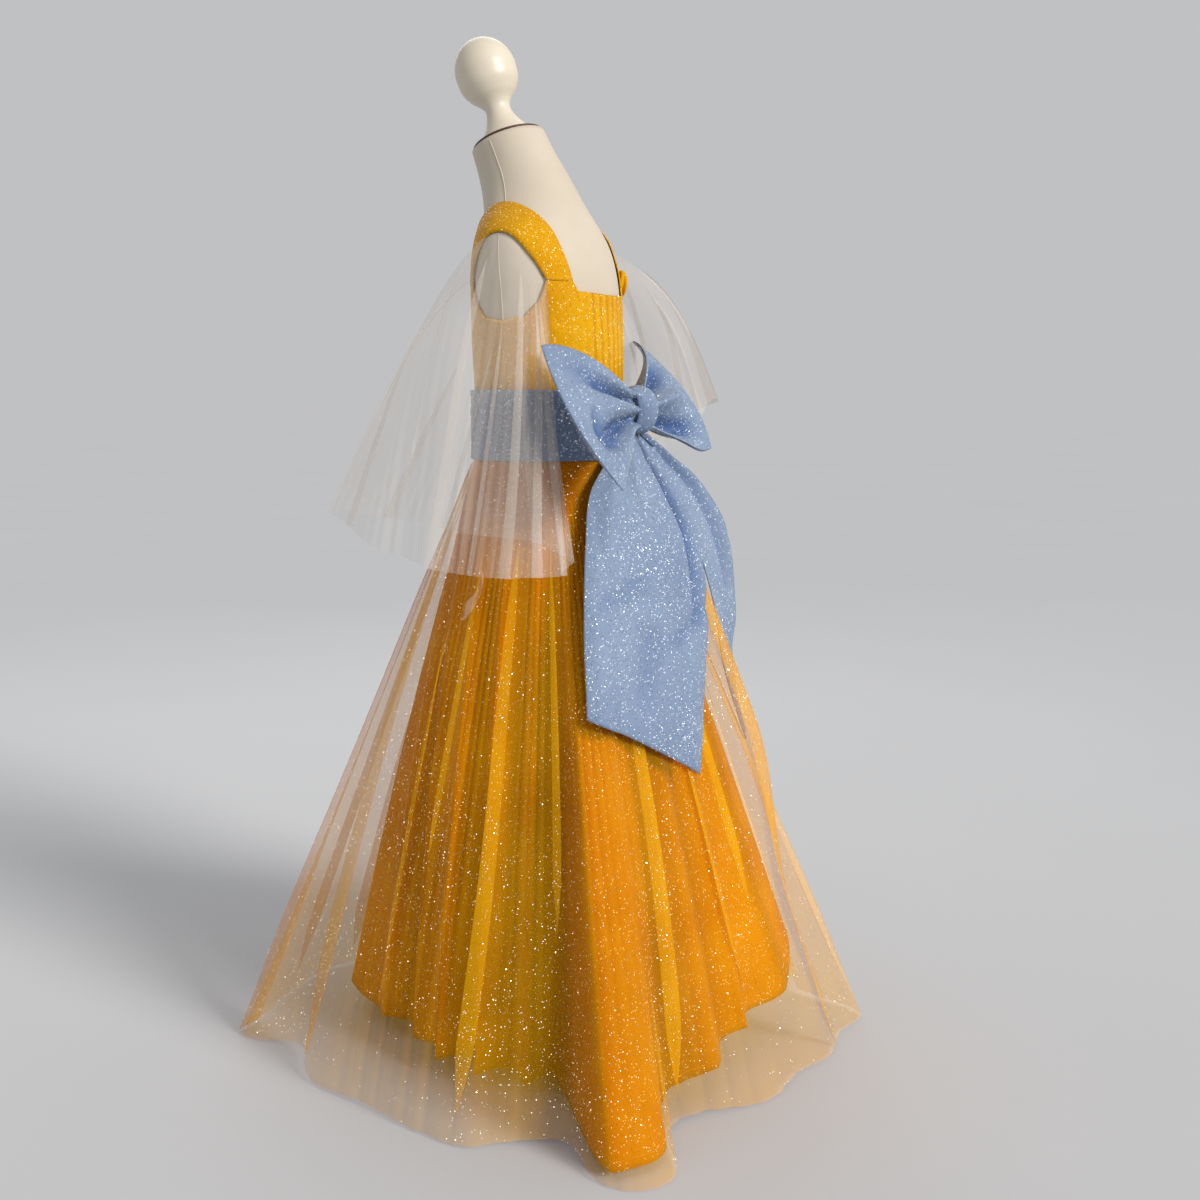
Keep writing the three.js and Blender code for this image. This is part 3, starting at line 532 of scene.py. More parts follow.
def makeStand():
    radius, height, bevel = stand["radius"], stand["height"], stand["bevel"]
    turn = np.linspace(0, np.pi / 2, 7)
    edge = np.stack([radius - bevel + bevel * np.cos(turn), height - bevel + bevel * np.sin(turn)], axis=1)
    foot = stand["footBevel"]
    under = [(0, 0), (radius - foot, 0), (radius, foot)]
    disc = np.vstack([under, edge, [(stand["topRing"], height), (0, height)]])
    finishPiece(revolve("standBase", disc, stand["segments"]), darkPaint, ["stand_base"])
    pole, low, high = stand["poleRadius"], height + stand["gap"], stand["poleTop"]
    cut = stand["poleBevel"]
    shaft = np.array([(0, low), (pole - cut, low), (pole, low + cut), (pole, high), (0, high)])
    finishPiece(revolve("standPole", shaft, stand["poleSegments"]), darkPaint, ["stand_pole"])


makeTorso()
makeNeckCap()
makeStand()
print("form and stand made")


# Skirts

waist = {"level": 678, "seam": 700, "flareFrom": 686, "sashBottom": 687, "sashTop": 765}

satinSkirt = {
    "folds": np.array([  # angle from +X towards +Y, hem radius, hem lift
        (-74, 258, 48), (-62, 240, 28), (-48, 200, 24), (-36, 178, 26), (-18, 208, 22), (-3, 200, 24),
        (13, 222, 22), (29, 232, 24), (33.5, 280, 22), (37, 374, 12), (43, 394, 10), (48, 376, 12),
        (52, 322, 24), (57, 298, 34), (72, 274, 34), (90, 262, 52), (105, 282, 60), (120, 300, 105),
        (136, 240, 70), (153, 272, 50),
        (170, 225, 62), (188, 262, 40), (206, 222, 60), (224, 265, 45), (242, 225, 66), (264, 268, 60),
    ], dtype=float),
    "meanRadius": 235, "foldPower": 1.5, "bulge": 0.25, "standOff": 2.0, "wall": 1.0,
    "layerGap": 6, "rows": 80, "columns": 600,
    "hemTurn": 7, "hemRidge": 0.8, "hemSoft": 2,  # height of the sewn hem and its ridge
    "swing": {"wave": (11, 5, 8, 15), "depth": 22, "power": 1.1},  # wave: what ripple takes before the turn
    "fine": {"wave": (12, 4, 18, 30), "depth": 1.2},
    "hollow": (7, 17),  # depth that counts as full painted shade in a hollow at the waist, and what the hem adds
    "flat": (2.3, 0.75), "cut": 0.95,
}
tulleSkirt = {
    "folds": np.array([  # angle from +X towards +Y, hem radius, hem lift
        (-74, 348, 3), (-64, 352, 3), (-55, 372, 2), (-46, 304, 8), (-29, 312, 4), (-14, 298, 6),
        (3, 310, 3), (14, 325, 3), (21, 310, 5), (33, 312, 5), (36.5, 385, 2), (42, 408, 2), (48, 390, 2),
        (52, 315, 4), (61, 295, 6), (76, 320, 3), (90, 318, 5), (101, 341, 3), (111, 346, 4), (121, 378, 2),
        (133, 322, 6), (147, 356, 3), (162, 308, 7), (180, 342, 3), (196, 305, 6), (209, 358, 2),
        (224, 312, 6), (240, 350, 3), (254, 310, 6), (270, 340, 3),
    ], dtype=float),
    "meanRadius": 325, "foldPower": 1.7, "bulge": 0.12, "standOff": 3.4,
    "rows": 60, "columns": 1500,
    "pleats": [  # angle, its drift, half width, overlap, depth, and where it starts and ends down the skirt
        (-58, 0, 7.0, 5.8, 6, 0.0, 1.4), (-36, -5, 7.5, 6.0, -6, 0.0, 1.08), (-15, 3, 3.6, 2.8, 4, 0.2, 0.9),
        (-2, -4, 3.0, 2.2, -3, 0.0, 0.7), (16, -4, 5.0, 4.0, -5, 0.0, 1.05), (30, 2, 3.2, 2.5, 3, 0.0, 0.8),
        (60, -3, 5.2, 4.2, 5, 0.0, 1.05), (74, 3, 3.4, 2.6, -4, 0.2, 0.9), (90, -4, 4.0, 3.1, 4, 0.1, 0.8),
        (101, 4, 7.0, 5.7, -6, 0.0, 1.1), (118, 3, 4.6, 3.7, 5, 0.1, 1.06), (139, -5, 6.0, 4.8, 6, 0.0, 1.05),
        (158, 4, 4.0, 3.1, -4, 0.1, 0.9), (177, 0, 7.0, 5.6, 6, 0.0, 1.06), (200, -6, 5.0, 4.0, -5, 0.0, 1.0),
        (222, 3, 6.4, 5.1, 6, 0.0, 1.02), (243, -3, 4.0, 3.1, 4, 0.2, 0.9), (262, 4, 7.0, 5.7, -6, 0.0, 1.06),
        (283, 0, 4.8, 3.8, 5, 0.0, 1.05),
    ],
    # full fold that stands out between the bow's tails: angle, half width, depth and its two heights
    "backFold": {"angle": 104, "half": 7, "depth": 42, "from": 650, "to": 150},
    "gathers": {"wave": (21, 6, 50, 95), "depth": 1.5, "fade": 0.8},
    "soft": {"wave": (22, 6, 18, 40), "depth": 1.8, "power": 1.1},
    "flat": (3.6, 0.72), "cut": 1.75,
}


def waistRadius(turn, standOff):
    halfWidth, halfDepth, _ = formSection(np.array(float(waist["level"])))
    return halfWidth * halfDepth / np.hypot(halfDepth * np.cos(turn), halfWidth * np.sin(turn)) + standOff


def skirtFold(skirt, turn, column):
    start = skirt["folds"][0, 0]
    angle = start + np.mod(np.degrees(turn) - start, 360)
    return along(closedRows(skirt["folds"]), column, angle)


def skirtRadius(skirt, turn, z):
    # cone that starts at the waist and bulges a little; folds deepen as a power of the fall to the hem
    hem, lift = skirtFold(skirt, turn, 1), skirtFold(skirt, turn, 2)
    fall = np.maximum(0, waist["flareFrom"] - z) / (waist["flareFrom"] - lift)
    start = waistRadius(turn, skirt["standOff"])
    cone = (skirt["meanRadius"] - start) * fall * (1 + skirt["bulge"] * (1 - fall))
    return start + cone + (hem - skirt["meanRadius"]) * fall ** skirt["foldPower"]


def satinRadius(turn, z):
    fall = np.maximum(0, waist["flareFrom"] - z) / waist["flareFrom"]
    gap = tulleSkirt["standOff"] - satinSkirt["standOff"] + satinSkirt["layerGap"] * np.sqrt(fall)
    return np.minimum(skirtRadius(satinSkirt, turn, z), skirtRadius(tulleSkirt, turn, z) - gap)


def polar(radius, turn, z):
    return np.stack(np.broadcast_arrays(radius * np.cos(turn), radius * np.sin(turn), z), axis=-1)


def skirtGrid(skirt):
    # rows from the waist seam to the hem, columns round the whole turn
    turn = np.linspace(0, 2 * np.pi, skirt["columns"], endpoint=False)
    share = np.linspace(-1 / (skirt["rows"] - 2), 1, skirt["rows"])[:, None]
    return share, turn


def skirtHeight(skirt, turn, share):
    hang = waist["flareFrom"] + (skirtFold(skirt, turn, 2) - waist["flareFrom"]) * np.maximum(share, 0)
    return np.where(share < 0, float(waist["seam"]), hang)


def makeSatinSkirt():
    # broad and fine waves draw the cloth in between the large folds; a ridge shows where the hem is sewn
    share, turn = skirtGrid(satinSkirt)
    z = skirtHeight(satinSkirt, turn, share)
    fall = np.maximum(share, 0)
    swing, fine = satinSkirt["swing"], satinSkirt["fine"]
    soft = ripple(*swing["wave"], turn) * swing["depth"] * fall ** swing["power"]
    soft = soft + ripple(*fine["wave"], turn) * fine["depth"] * fall
    hemLine = z - skirtFold(satinSkirt, turn, 2) - satinSkirt["hemTurn"]
    hemRidge = satinSkirt["hemRidge"] * np.exp(-(hemLine / satinSkirt["hemSoft"]) ** 2)
    radius = satinRadius(turn, z) - np.abs(soft)
    points = polar(radius + hemRidge, turn, z)
    # painted shade: the colour darkens where the cloth lies below the broad swell of its row
    shallow, deepening = satinSkirt["hollow"]
    low = shadeInHollows(radius, shallow + deepening * fall) * smoothStep(0, 0.1, fall)
    skirt = thicken(gridObject("satinSkirt", points, ring=True, hollow=low), satinSkirt["wall"])
    finishPiece(skirt, skirtSatin, [f"satin_gore_{n}" for n in range(1, 7)])
    return points


def makeTulleSkirt():
    # the pleats lie on the large folds; fine gathers run down from the sash and fade
    share, turn = skirtGrid(tulleSkirt)
    fall = np.maximum(share, 0)
    shift, step, edge = pleatFolds(tulleSkirt["pleats"], np.degrees(turn), fall)
    grow = (0.25 + 0.75 * fall) * (1 - 0.6 * smoothStep(0.75, 1, fall))  # flatter again towards the hem
    turned = turn + np.radians(shift)
    z = skirtHeight(tulleSkirt, turned, share)
    fine, broad = tulleSkirt["gathers"], tulleSkirt["soft"]
    fineWave = ripple(*fine["wave"], turn)
    gathers = np.abs(fineWave) * fine["depth"] * smoothStep(0, 0.03, fall) * (1 - fine["fade"] * fall)
    soft = np.abs(ripple(*broad["wave"], turn)) * broad["depth"] * fall ** broad["power"]
    back = tulleSkirt["backFold"]
    down = (back["from"] - z) / (back["from"] - back["to"])
    swell = back["depth"] * smoothStep(0, 0.2, down) * (1 - smoothStep(0.5, 1, down))
    swell = swell * np.exp(-((np.degrees(turned) - back["angle"]) / back["half"]) ** 2)
    points = polar(skirtRadius(tulleSkirt, turned, z) + gathers + soft + step * grow + swell, turned, z)
    hem = smoothStep(0.985, 1.0, share)
    gathered = 0.35 * (1 - smoothStep(0.0, 0.3, fall)) * (0.6 + 0.4 * fineWave)
    density = np.clip(0.6 * edge + 0.5 * hem + gathered, 0, 1)
    skirt = gridObject("tulleSkirt", points, ring=True, density=density)
    finishPiece(skirt, goldTulle, [f"tulle_panel_{n}" for n in range(1, 7)])
    return points


satinPoints = makeSatinSkirt()
tullePoints = makeTulleSkirt()
print("skirts made")


# Bodice and straps

bodice = {
    "strapSeam": 885, "standOff": 2.6, "wall": 1.4, "rows": 44, "columns": 200,
    "backEdge": np.array([  # turn from the side seam to the middle, height of the upper edge
        (0, 840), (18, 844), (30, 862), (37, 885), (56, 885), (60, 872), (90, 870),
    ], dtype=float),
    "frontEdge": np.array([
        (0, 840), (18, 844), (30, 862), (37, 885), (56, 885), (61, 876), (90, 866),
    ], dtype=float),
    "joinFrom": 37, "joinTo": 56, "joinLift": 0.5,  # where a strap runs on into the bodice
    "roll": {"height": 0.9, "below": 4, "half": 2.2},  # turned upper edge
    "ridgeFrom": 63, "ridges": 7, "ridge": 1.5, "ridgeWave": (31, 3, 2, 6), "ridgeDrift": 0.6,
    "creases": [  # pulls under the arm and over the front: u round the half, v down it, height, width
        (0.06, 0.3, 0.2, 0.55, -1.2, 0.03), (0.1, 0.15, 0.26, 0.35, 1.1, 0.03),
        (0.85, 0.2, 0.94, 0.6, -1.1, 0.03), (0.3, 0.75, 0.36, 0.98, 1.0, 0.02),
        (0.66, 0.72, 0.62, 0.98, 1.0, 0.02), (0.45, 0.8, 0.44, 1.0, -0.9, 0.02),
    ],
    "flat": (0.34, 0.19), "cut": 0.05,
}
strap = {
    "inner": 56, "outer": 82, "innerSpread": 10, "outerSpread": 14, "standOff": 3.0, "padding": 0.6,
    "wall": 1.4, "pucker": 0.25, "rows": 14, "columns": 70, "flat": (0.036, 0.22),
    "lap": 0.05,  # radians past each end, onto the bodice
    "reach": 130.0, "halvings": 36, "sink": 0.3,  # of the search for the form's surface
}


def makeBodiceHalf(name, node, edge, facing, ridged):
    # half tube on the form; the upper edge follows a table, shirring is a row of raised cosines
    degrees = np.linspace(0, 180, bodice["columns"])
    fromSide = np.minimum(degrees, 180 - degrees)
    top = np.interp(fromSide, edge[:, 0], edge[:, 1])
    share = np.linspace(0, 1, bodice["rows"])[:, None]
    z = top + (waist["seam"] + 0.4 - top) * share
    turn = np.radians(degrees) * facing
    joined = (fromSide > bodice["joinFrom"]) & (fromSide < bodice["joinTo"])
    roll = bodice["roll"]
    rolled = roll["height"] * np.exp(-((top - z - roll["below"]) / roll["half"]) ** 2)
    standOff = bodice["standOff"] + np.where(joined, bodice["joinLift"], rolled)
    low = np.zeros(degrees.shape)
    if ridged:
        inside = smoothStep(bodice["ridgeFrom"], bodice["ridgeFrom"] + 6, fromSide)
        spread = 180 - 2 * bodice["ridgeFrom"]
        phase = 2 * np.pi * (degrees - 90) / spread * bodice["ridges"]
        wave = np.cos(phase + ripple(*bodice["ridgeWave"], turn) * bodice["ridgeDrift"])
        puckers = 0.8 + 0.2 * np.sin(share * 40 + 4 * wave)
        standOff = standOff + bodice["ridge"] * inside * (0.5 + 0.5 * wave) ** 1.5 * puckers
        # painted shade: the grooves between the shirring ridges are darkened
        low = inside * (0.5 - 0.5 * wave) ** 3 * 0.6
    standOff = standOff + np.abs(creaseField(bodice["creases"], degrees / 180, share))
    points = formPoint(turn, z, standOff)[:, ::facing]
    half = thicken(gridObject(name, points, hollow=low[::facing]), bodice["wall"])
    finishPiece(half, bodiceSatin, [node])
    return points


def shoulderPoint(x, over):
    # place on the form over the shoulder: halving search along a ray from the strap seam's level
    level = float(bodice["strapSeam"])
    middle = formSection(np.array(level))[2]
    near, far = np.zeros_like(x), np.full_like(x, strap["reach"])
    for _ in range(strap["halvings"]):
        reach = (near + far) / 2
        halfWidth, halfDepth, centre = formSection(level + np.sin(over) * reach)
        inside = (x / halfWidth) ** 2 + ((middle - np.cos(over) * reach - centre) / halfDepth) ** 2 < 1
        near, far = np.where(inside, reach, near), np.where(inside, far, reach)
    y = middle - np.cos(over) * near
    z = level - strap["sink"] + np.sin(over) * near
    return np.stack([x, y, z], axis=-1)


def makeStraps():
    # band over the shoulder, a little fuller along its middle, whose ends lap the bodice
    over = np.linspace(-strap["lap"], np.pi + strap["lap"], strap["columns"]) * np.ones((strap["rows"], 1))
    across = np.linspace(0, 1, strap["rows"])[:, None]
    inner = strap["inner"] + strap["innerSpread"] * np.sin(over)
    outer = strap["outer"] + strap["outerSpread"] * np.sin(over)
    points = shoulderPoint(inner + (outer - inner) * across, over)
    padding = strap["padding"] * np.sin(np.pi * across) + strap["pucker"] * np.sin(over * 9 + across * 5)
    points = points + surfaceNormals(points) * (strap["standOff"] + padding)[..., None]
    sides = (("strapLeft", "strap_left", points), ("strapRight", "strap_right", mirrored(points)))
    for name, node, grid in sides:
        piece = thicken(gridObject(name, grid), strap["wall"])
        finishPiece(piece, bodiceSatin, [node])
    return [grid for _, _, grid in sides]


puff = {
    "turn": 133, "z": 888, "standOff": 5, "half": (10, 6, 15.5),
    "pinches": 5, "pinch": 0.2, "twist": 2.2, "rows": 34, "columns": 60,
}


def makeStrapPuff():
    # gathered end of the right strap, an egg that stands on the bodice's upper edge
    side = math.radians(puff["turn"])
    middle = formPoint(np.array(side), np.array(float(puff["z"])), puff["standOff"])
    tangent = (-math.sin(side), math.cos(side), 0)
    outward = (math.cos(side), math.sin(side), 0)
    egg = pinchedEgg("strapPuff", puff, middle, (tangent, outward, (0, 0, 1)))
    finishPiece(egg, bodiceSatin)


backPoints = makeBodiceHalf("bodiceBack", "bodice_back", bodice["backEdge"], 1, True)
frontPoints = makeBodiceHalf("bodiceFront", "bodice_front", bodice["frontEdge"], -1, False)
strapPoints = makeStraps()
makeStrapPuff()
print("bodice made")


# Sash and bow

sash = {
    "standOff": 5.6, "wall": 1.3, "rows": 40, "columns": 260, "edge": 0.6,
    "creases": [  # u round the waist, v down the band, height, width
        (0.02, 0.3, 0.2, 0.42, 0.9, 0.06), (0.05, 0.68, 0.24, 0.6, -0.7, 0.07),
        (0.3, 0.45, 0.46, 0.55, 0.8, 0.06), (0.52, 0.25, 0.7, 0.4, 0.8, 0.06),
        (0.6, 0.75, 0.8, 0.6, 0.9, 0.06), (0.78, 0.35, 0.97, 0.3, 0.8, 0.06),
    ],
    "flat": (0.6, 0.08),
}
knot = {
    "x": -10, "y": 109.2, "z": 743, "halfDepth": 23, "halfHeight": 27, "halfLength": 17,
    "drawn": 5.5, "drawnDeep": 9,  # how far the mouths are drawn in, and how much more from front to back
    "fold": 0.9, "rows": 36, "columns": 90, "wall": 1.2, "flat": (0.17, 0.036),
}
bowMiddle = {"half": (15, 21, 16), "pinches": 9, "pinch": 0.08, "twist": 0, "rows": 24, "columns": 72}
loops = [
    {"name": "bowLoopLeft", "node": "bow_loop_left", "side": 1, "reach": 160, "rise": -6, "back": 14,
     "spread": 175, "tilt": 33, "puff": 30, "pinch": 37.9, "slip": 0.9,
     "bow": 20, "bowBack": 0, "widening": 1.3, "leanPower": 1.0,
     "flat": (0.18, 0.34), "cut": 0.045,
     "creases": [  # u out from the knot, v from the upper edge (-0.5) to the lower (0.5), height, width
         (0.12, -0.24, 0.74, -0.22, -6, 0.06), (0.12, 0.14, 0.8, 0.16, -9, 0.08),
         (0.78, -0.06, 0.86, 0.2, -7, 0.05), (0.86, 0.2, 0.62, 0.32, -5, 0.05),
         (0.3, 0.36, 0.9, 0.42, 5, 0.07), (0.2, -0.4, 0.66, -0.4, 4, 0.05)]},
    {"name": "bowLoopRight", "node": "bow_loop_right", "side": -1, "reach": 122, "rise": 17, "back": -17,
     "spread": 164, "tilt": 39, "puff": 10, "pinch": 37.5, "slip": -0.7,
     "bow": -6, "bowBack": 22, "widening": 0.75, "leanPower": 0.5,
     "flat": (0.17, 0.27), "cut": 0.034,
     "creases": [
         (0.1, -0.12, 0.8, -0.26, -9, 0.07), (0.1, 0.04, 0.8, 0.02, 7, 0.07),
         (0.12, 0.16, 0.84, 0.26, -9, 0.06), (0.2, 0.34, 0.8, 0.42, 2.5, 0.05)]},
]
loopShape = {"root": 9, "liftOff": 2, "rows": 72, "columns": 120, "wall": 1.2,
             "gathers": 2, "gather": 0.13, "gatherFrom": 0.3, "gatherEnd": 0.95, "tucks": 4.5, "tuck": 1.5,
             # the last entry is the trough depth that gives full painted shade
             "hollow": 9}
tails = [
    {"name": "bowTailLeft", "node": "bow_tail_left", "endFrom": 423, "endTo": 345,
     "flat": (0.17, 0.38), "cut": 0.054,
     "sections": np.array([  # height, angle of each edge, stand-off of each edge from the tulle
         (345, 39, 79, 6, 6), (440, 40, 89, 17, 24), (520, 41, 97, 23, 44), (600, 45, 104, 21, 54),
         (655, 52, 99.5, 18, 52), (690, 69, 96.5, 18, 40), (715.8, 85, 95, 21, 21)], dtype=float),
     "pleats": [],
     "recess": {"line": 0.82, "depth": 15, "end": 0.55},  # valley beside a sharp fold, down to its end
     "creases": [  # u down the tail, v across it, height, width
         (0.04, 0.5, 0.5, 0.62, 4, 0.07), (0.5, 1.05, 0.68, 0.6, -4, 0.03),
         (0.48, 0.46, 0.6, 0.08, -3, 0.03), (0.12, 0.26, 0.5, 0.14, 3, 0.08),
         (0.6, 0.84, 0.98, 0.9, 3, 0.07), (0.62, 0.5, 0.92, 0.42, -2.5, 0.09)]},
    {"name": "bowTailRight", "node": "bow_tail_right", "endFrom": 352, "endTo": 428,
     "flat": (0.11, 0.38), "cut": 0.036,
     "sections": np.array([
         (345, 119, 140, 6, 24), (440, 117, 138, 18, 52), (520, 112, 135, 40, 72), (600, 106, 131, 50, 93),
         (655, 101, 126, 50, 80), (690, 98, 115, 38, 55), (715.8, 97, 107, 21, 21)], dtype=float),
     "pleats": [(60, 10, 8, 6.5, 6, -0.3, 0.9)],  # per cent across, as for the skirt
     "recess": {"line": 0.62, "depth": 5, "end": 0.9},
     "creases": [
         (0.02, 0.5, 0.6, 0.52, -5, 0.08), (0.3, 0.74, 0.85, 0.7, 4, 0.08), (0.5, 0.3, 0.95, 0.36, 2.5, 0.07),
         (0.15, 0.86, 0.55, 0.9, -3, 0.06)]},
]
# the last entry is the depth of valley or crease that gives full painted shade
tailShape = {"top": 715.8, "rows": 80, "columns": 90, "wall": 1.2, "hollow": 10}


def makeSash():
    # straight band on the waist's ellipse with soft level creases and folded edges
    turn = np.linspace(0, 2 * np.pi, sash["columns"], endpoint=False)
    share = np.linspace(0, 1, sash["rows"])[:, None]
    z = waist["sashTop"] + (waist["sashBottom"] - waist["sashTop"]) * share + 0 * turn
    edge = sash["edge"] * np.exp(-(np.minimum(share, 1 - share) / 0.05 - 0.8) ** 2)
    standOff = sash["standOff"] + np.abs(creaseField(sash["creases"], turn / (2 * np.pi), share)) + edge
    points = polar(waistRadius(turn, standOff), turn, z)
    band = thicken(gridObject("sashBand", points, ring=True), sash["wall"])
    finishPiece(band, blueSatin, ["sash_band"])
    return points


def makeKnot():
    # short tube across the back, drawn in at its mouths, with folds that run round it
    share = np.linspace(-1, 1, knot["rows"])[:, None]
    turn = np.linspace(2 * np.pi, 0, knot["columns"], endpoint=False)
    folds = knot["fold"] * np.cos(share * 9 + np.sin(turn) * 1.3) * (1 - share ** 4)
    drawn = knot["drawn"] * share ** 2 + folds
    y = knot["y"] + (knot["halfDepth"] - drawn - knot["drawnDeep"] * share ** 4) * np.cos(turn)
    z = knot["z"] + (knot["halfHeight"] - drawn) * np.sin(turn)
    points = np.stack(np.broadcast_arrays(knot["x"] + knot["halfLength"] * share, y, z), axis=2)
    wrap = thicken(gridObject("bowKnot", points, ring=True), knot["wall"])
    finishPiece(wrap, blueSatin, ["bow_knot"])


def makeMiddle():
    # gathered middle of the bow, an egg that is hidden in the knot but for its ends
    middle = np.array((knot["x"], knot["y"], knot["z"]))
    egg = pinchedEgg("bowMiddle", bowMiddle, middle, ((0, 1, 0), (0, 0, 1), (-1, 0, 0)))
    finishPiece(egg, blueSatin)


def makeLoop(loop):
    # ribbon whose path is half of a figure eight; it opens from the knot in a soft S and leans as it goes,
    # and both of its layers carry the same gathers, which are a share of its width and fade outwards
    start = math.asin(loopShape["root"] / loop["reach"])
    turn = np.linspace(start, np.pi - start, loopShape["columns"])[::-loop["side"]]
    across = np.linspace(-0.5, 0.5, loopShape["rows"])[:, None]
    out = np.sin(turn)
    width = loop["pinch"] + (loop["spread"] - loop["pinch"]) * smoothStep(0, 1, out ** loop["widening"])
    lean = np.radians(loop["tilt"]) * out ** loop["leanPower"]
    middle = 1 - 4 * across ** 2  # one along the ribbon's middle, nothing at its edges
    pressed = (1 - 0.55 * out ** 3) * (0.25 + 0.75 * middle)  # flatter at the far fold and along the edges
    depth = loop["puff"] / 2 * np.sin(2 * turn) * pressed
    drop = across * width
    full = middle * out ** 2  # the middle of the far fold stands apart from its ends
    back = loop["back"] * out + loop["bowBack"] * full
    points = np.stack(np.broadcast_arrays(
        knot["x"] + loop["side"] * (loop["reach"] * out + loop["bow"] * full),
        knot["y"] + loopShape["liftOff"] + back + drop * np.sin(lean) + depth * np.cos(lean),
        knot["z"] + loop["rise"] * out - drop * np.cos(lean) + depth * np.sin(lean),
    ), axis=2)
    fade = 1 - smoothStep(loopShape["gatherFrom"], loopShape["gatherEnd"], out)
    fold = loopShape["gather"] * width * fade
    wave = np.cos(2 * np.pi * loopShape["gathers"] * across + loop["slip"] * out)
    tucks = np.cos(2 * np.pi * loopShape["tucks"] * across) * (1 - smoothStep(0.0, 0.35, out))
    pulls = creaseField(loop["creases"], out, across) * smoothStep(0.05, 0.3, out)
    crease = fold * wave + loopShape["tuck"] * tucks + pulls
    facing = np.stack([0 * lean, np.cos(lean), np.sin(lean)], axis=-1)
    points = points + crease[..., None] * facing
    # painted shade: the colour darkens in the troughs of the gathers, tucks and creases
    low = np.clip(-crease / loopShape["hollow"], 0, 1)
    piece = thicken(gridObject(loop["name"], points, hollow=low), loopShape["wall"], 0)
    finishPiece(piece, blueSatin, [loop["node"]])
    return points


def makeTail(tail):
    # ribbon that stands off the tulle between two edge angles; creases cross it, a pleat may run down it,
    # and beyond a line along it the cloth drops off a sharp fold into a valley
    even = np.linspace(0, 1, tailShape["columns"])
    share = np.linspace(0, 1, tailShape["rows"])[:, None]
    shift, step, _ = pleatFolds(tail["pleats"], even * 100, share)
    across = even + shift / 100
    end = tail["endFrom"] + (tail["endTo"] - tail["endFrom"]) * even
    z = tailShape["top"] + (end - tailShape["top"]) * share
    angleFrom, angleTo, offFrom, offTo = (along(tail["sections"], column, z) for column in (1, 2, 3, 4))
    turn = np.radians(angleFrom + (angleTo - angleFrom) * across)
    crease = creaseField(tail["creases"], share, across)
    recess = tail["recess"]
    beyond = np.clip((across - recess["line"]) / (1 - recess["line"]), 0, 1)
    inset = hump(beyond, 0, 0.2, 0.2, 1)
    inset = inset * (1 - smoothStep(recess["end"] - 0.2, recess["end"] + 0.1, share))
    off = offFrom + (offTo - offFrom) * across + crease + step - recess["depth"] * inset
    points = polar(skirtRadius(tulleSkirt, turn, np.minimum(z, waist["flareFrom"])) + off, turn, z)
    # painted shade: the colour darkens in the valley beside the fold and in the creases' troughs
    low = np.clip((inset * recess["depth"] - crease) / tailShape["hollow"], 0, 1)
    piece = thicken(gridObject(tail["name"], points, hollow=low), tailShape["wall"], 0)
    finishPiece(piece, blueSatin, [tail["node"]])
    return points


sashPoints = makeSash()
makeKnot()
makeMiddle()
loopPoints = [makeLoop(loop) for loop in loops]
tailPoints = [makeTail(tail) for tail in tails]
print("sash and bow made")


# Sleeves

sleeves = [
    {"name": "sleeveLeft", "node": "sleeve_left", "strap": "strap_left", "seed": 71, "billow": 26,
     "hem": np.array([  # turn round the armhole, then the hem's place
         (0, 190, -168, 632), (45, 236, -72, 600), (90, 248, 28, 580), (135, 200, 84, 573),
         (180, 138, 100, 574), (225, 128, 72, 598), (270, 148, -30, 612), (315, 160, -112, 624),
     ], dtype=float)},
    {"name": "sleeveRight", "node": "sleeve_right", "strap": "strap_right", "seed": 72, "billow": 40,
     "hem": np.array([  # as on the left, and mirrored with the whole sleeve
         (0, 198, -165, 638), (45, 268, -88, 652), (90, 308, 8, 712), (135, 262, 92, 752),
         (180, 156, 22, 652), (225, 142, 8, 620), (270, 148, -46, 612), (315, 162, -116, 626),
     ], dtype=float)},
]
sleeveShape = {
    "rows": 52, "columns": 960, "gathers": 9, "gatherHem": 4.5, "gatherTop": 0.5, "clear": 2.2,
    "billowTurn": 65, "stand": 0.6,  # where the billow is fullest, and how much of it lifts the net
    "fine": {"wave": (6, 30, 64), "depth": 1.2, "power": 1.4},
    "pleats": [  # turn, its drift, half width, overlap, depth, and where it starts and ends down the sleeve
        (8, -4, 4.0, 3.2, 3, 0.0, 1.4), (30, -8, 3.0, 2.3, -3, 0.3, 1.4), (66, -12, 3.6, 2.8, 3, 0.0, 0.8),
        (84, -7, 5.4, 4.5, -4, 0.0, 1.4), (103, -3, 3.0, 2.3, 4, 0.2, 1.4),
        (116, 3, 5.4, 4.6, 4, 0.0, 1.4), (126, 5, 2.6, 2.0, -3, 0.0, 0.7), (139, 6, 5.0, 4.2, 4, 0.1, 1.4),
        (164, 2, 4.4, 3.5, 4, 0.0, 1.4), (198, 3, 4.4, 3.4, 3, 0.1, 1.4),
        (236, 0, 5.0, 3.9, -3, 0.1, 1.4), (274, 4, 4.2, 3.2, 3, 0.0, 1.4), (318, -3, 5.0, 4.0, 3, 0.1, 1.4),
    ],
    "flat": (1.0, 0.36), "cut": 0.18,
}


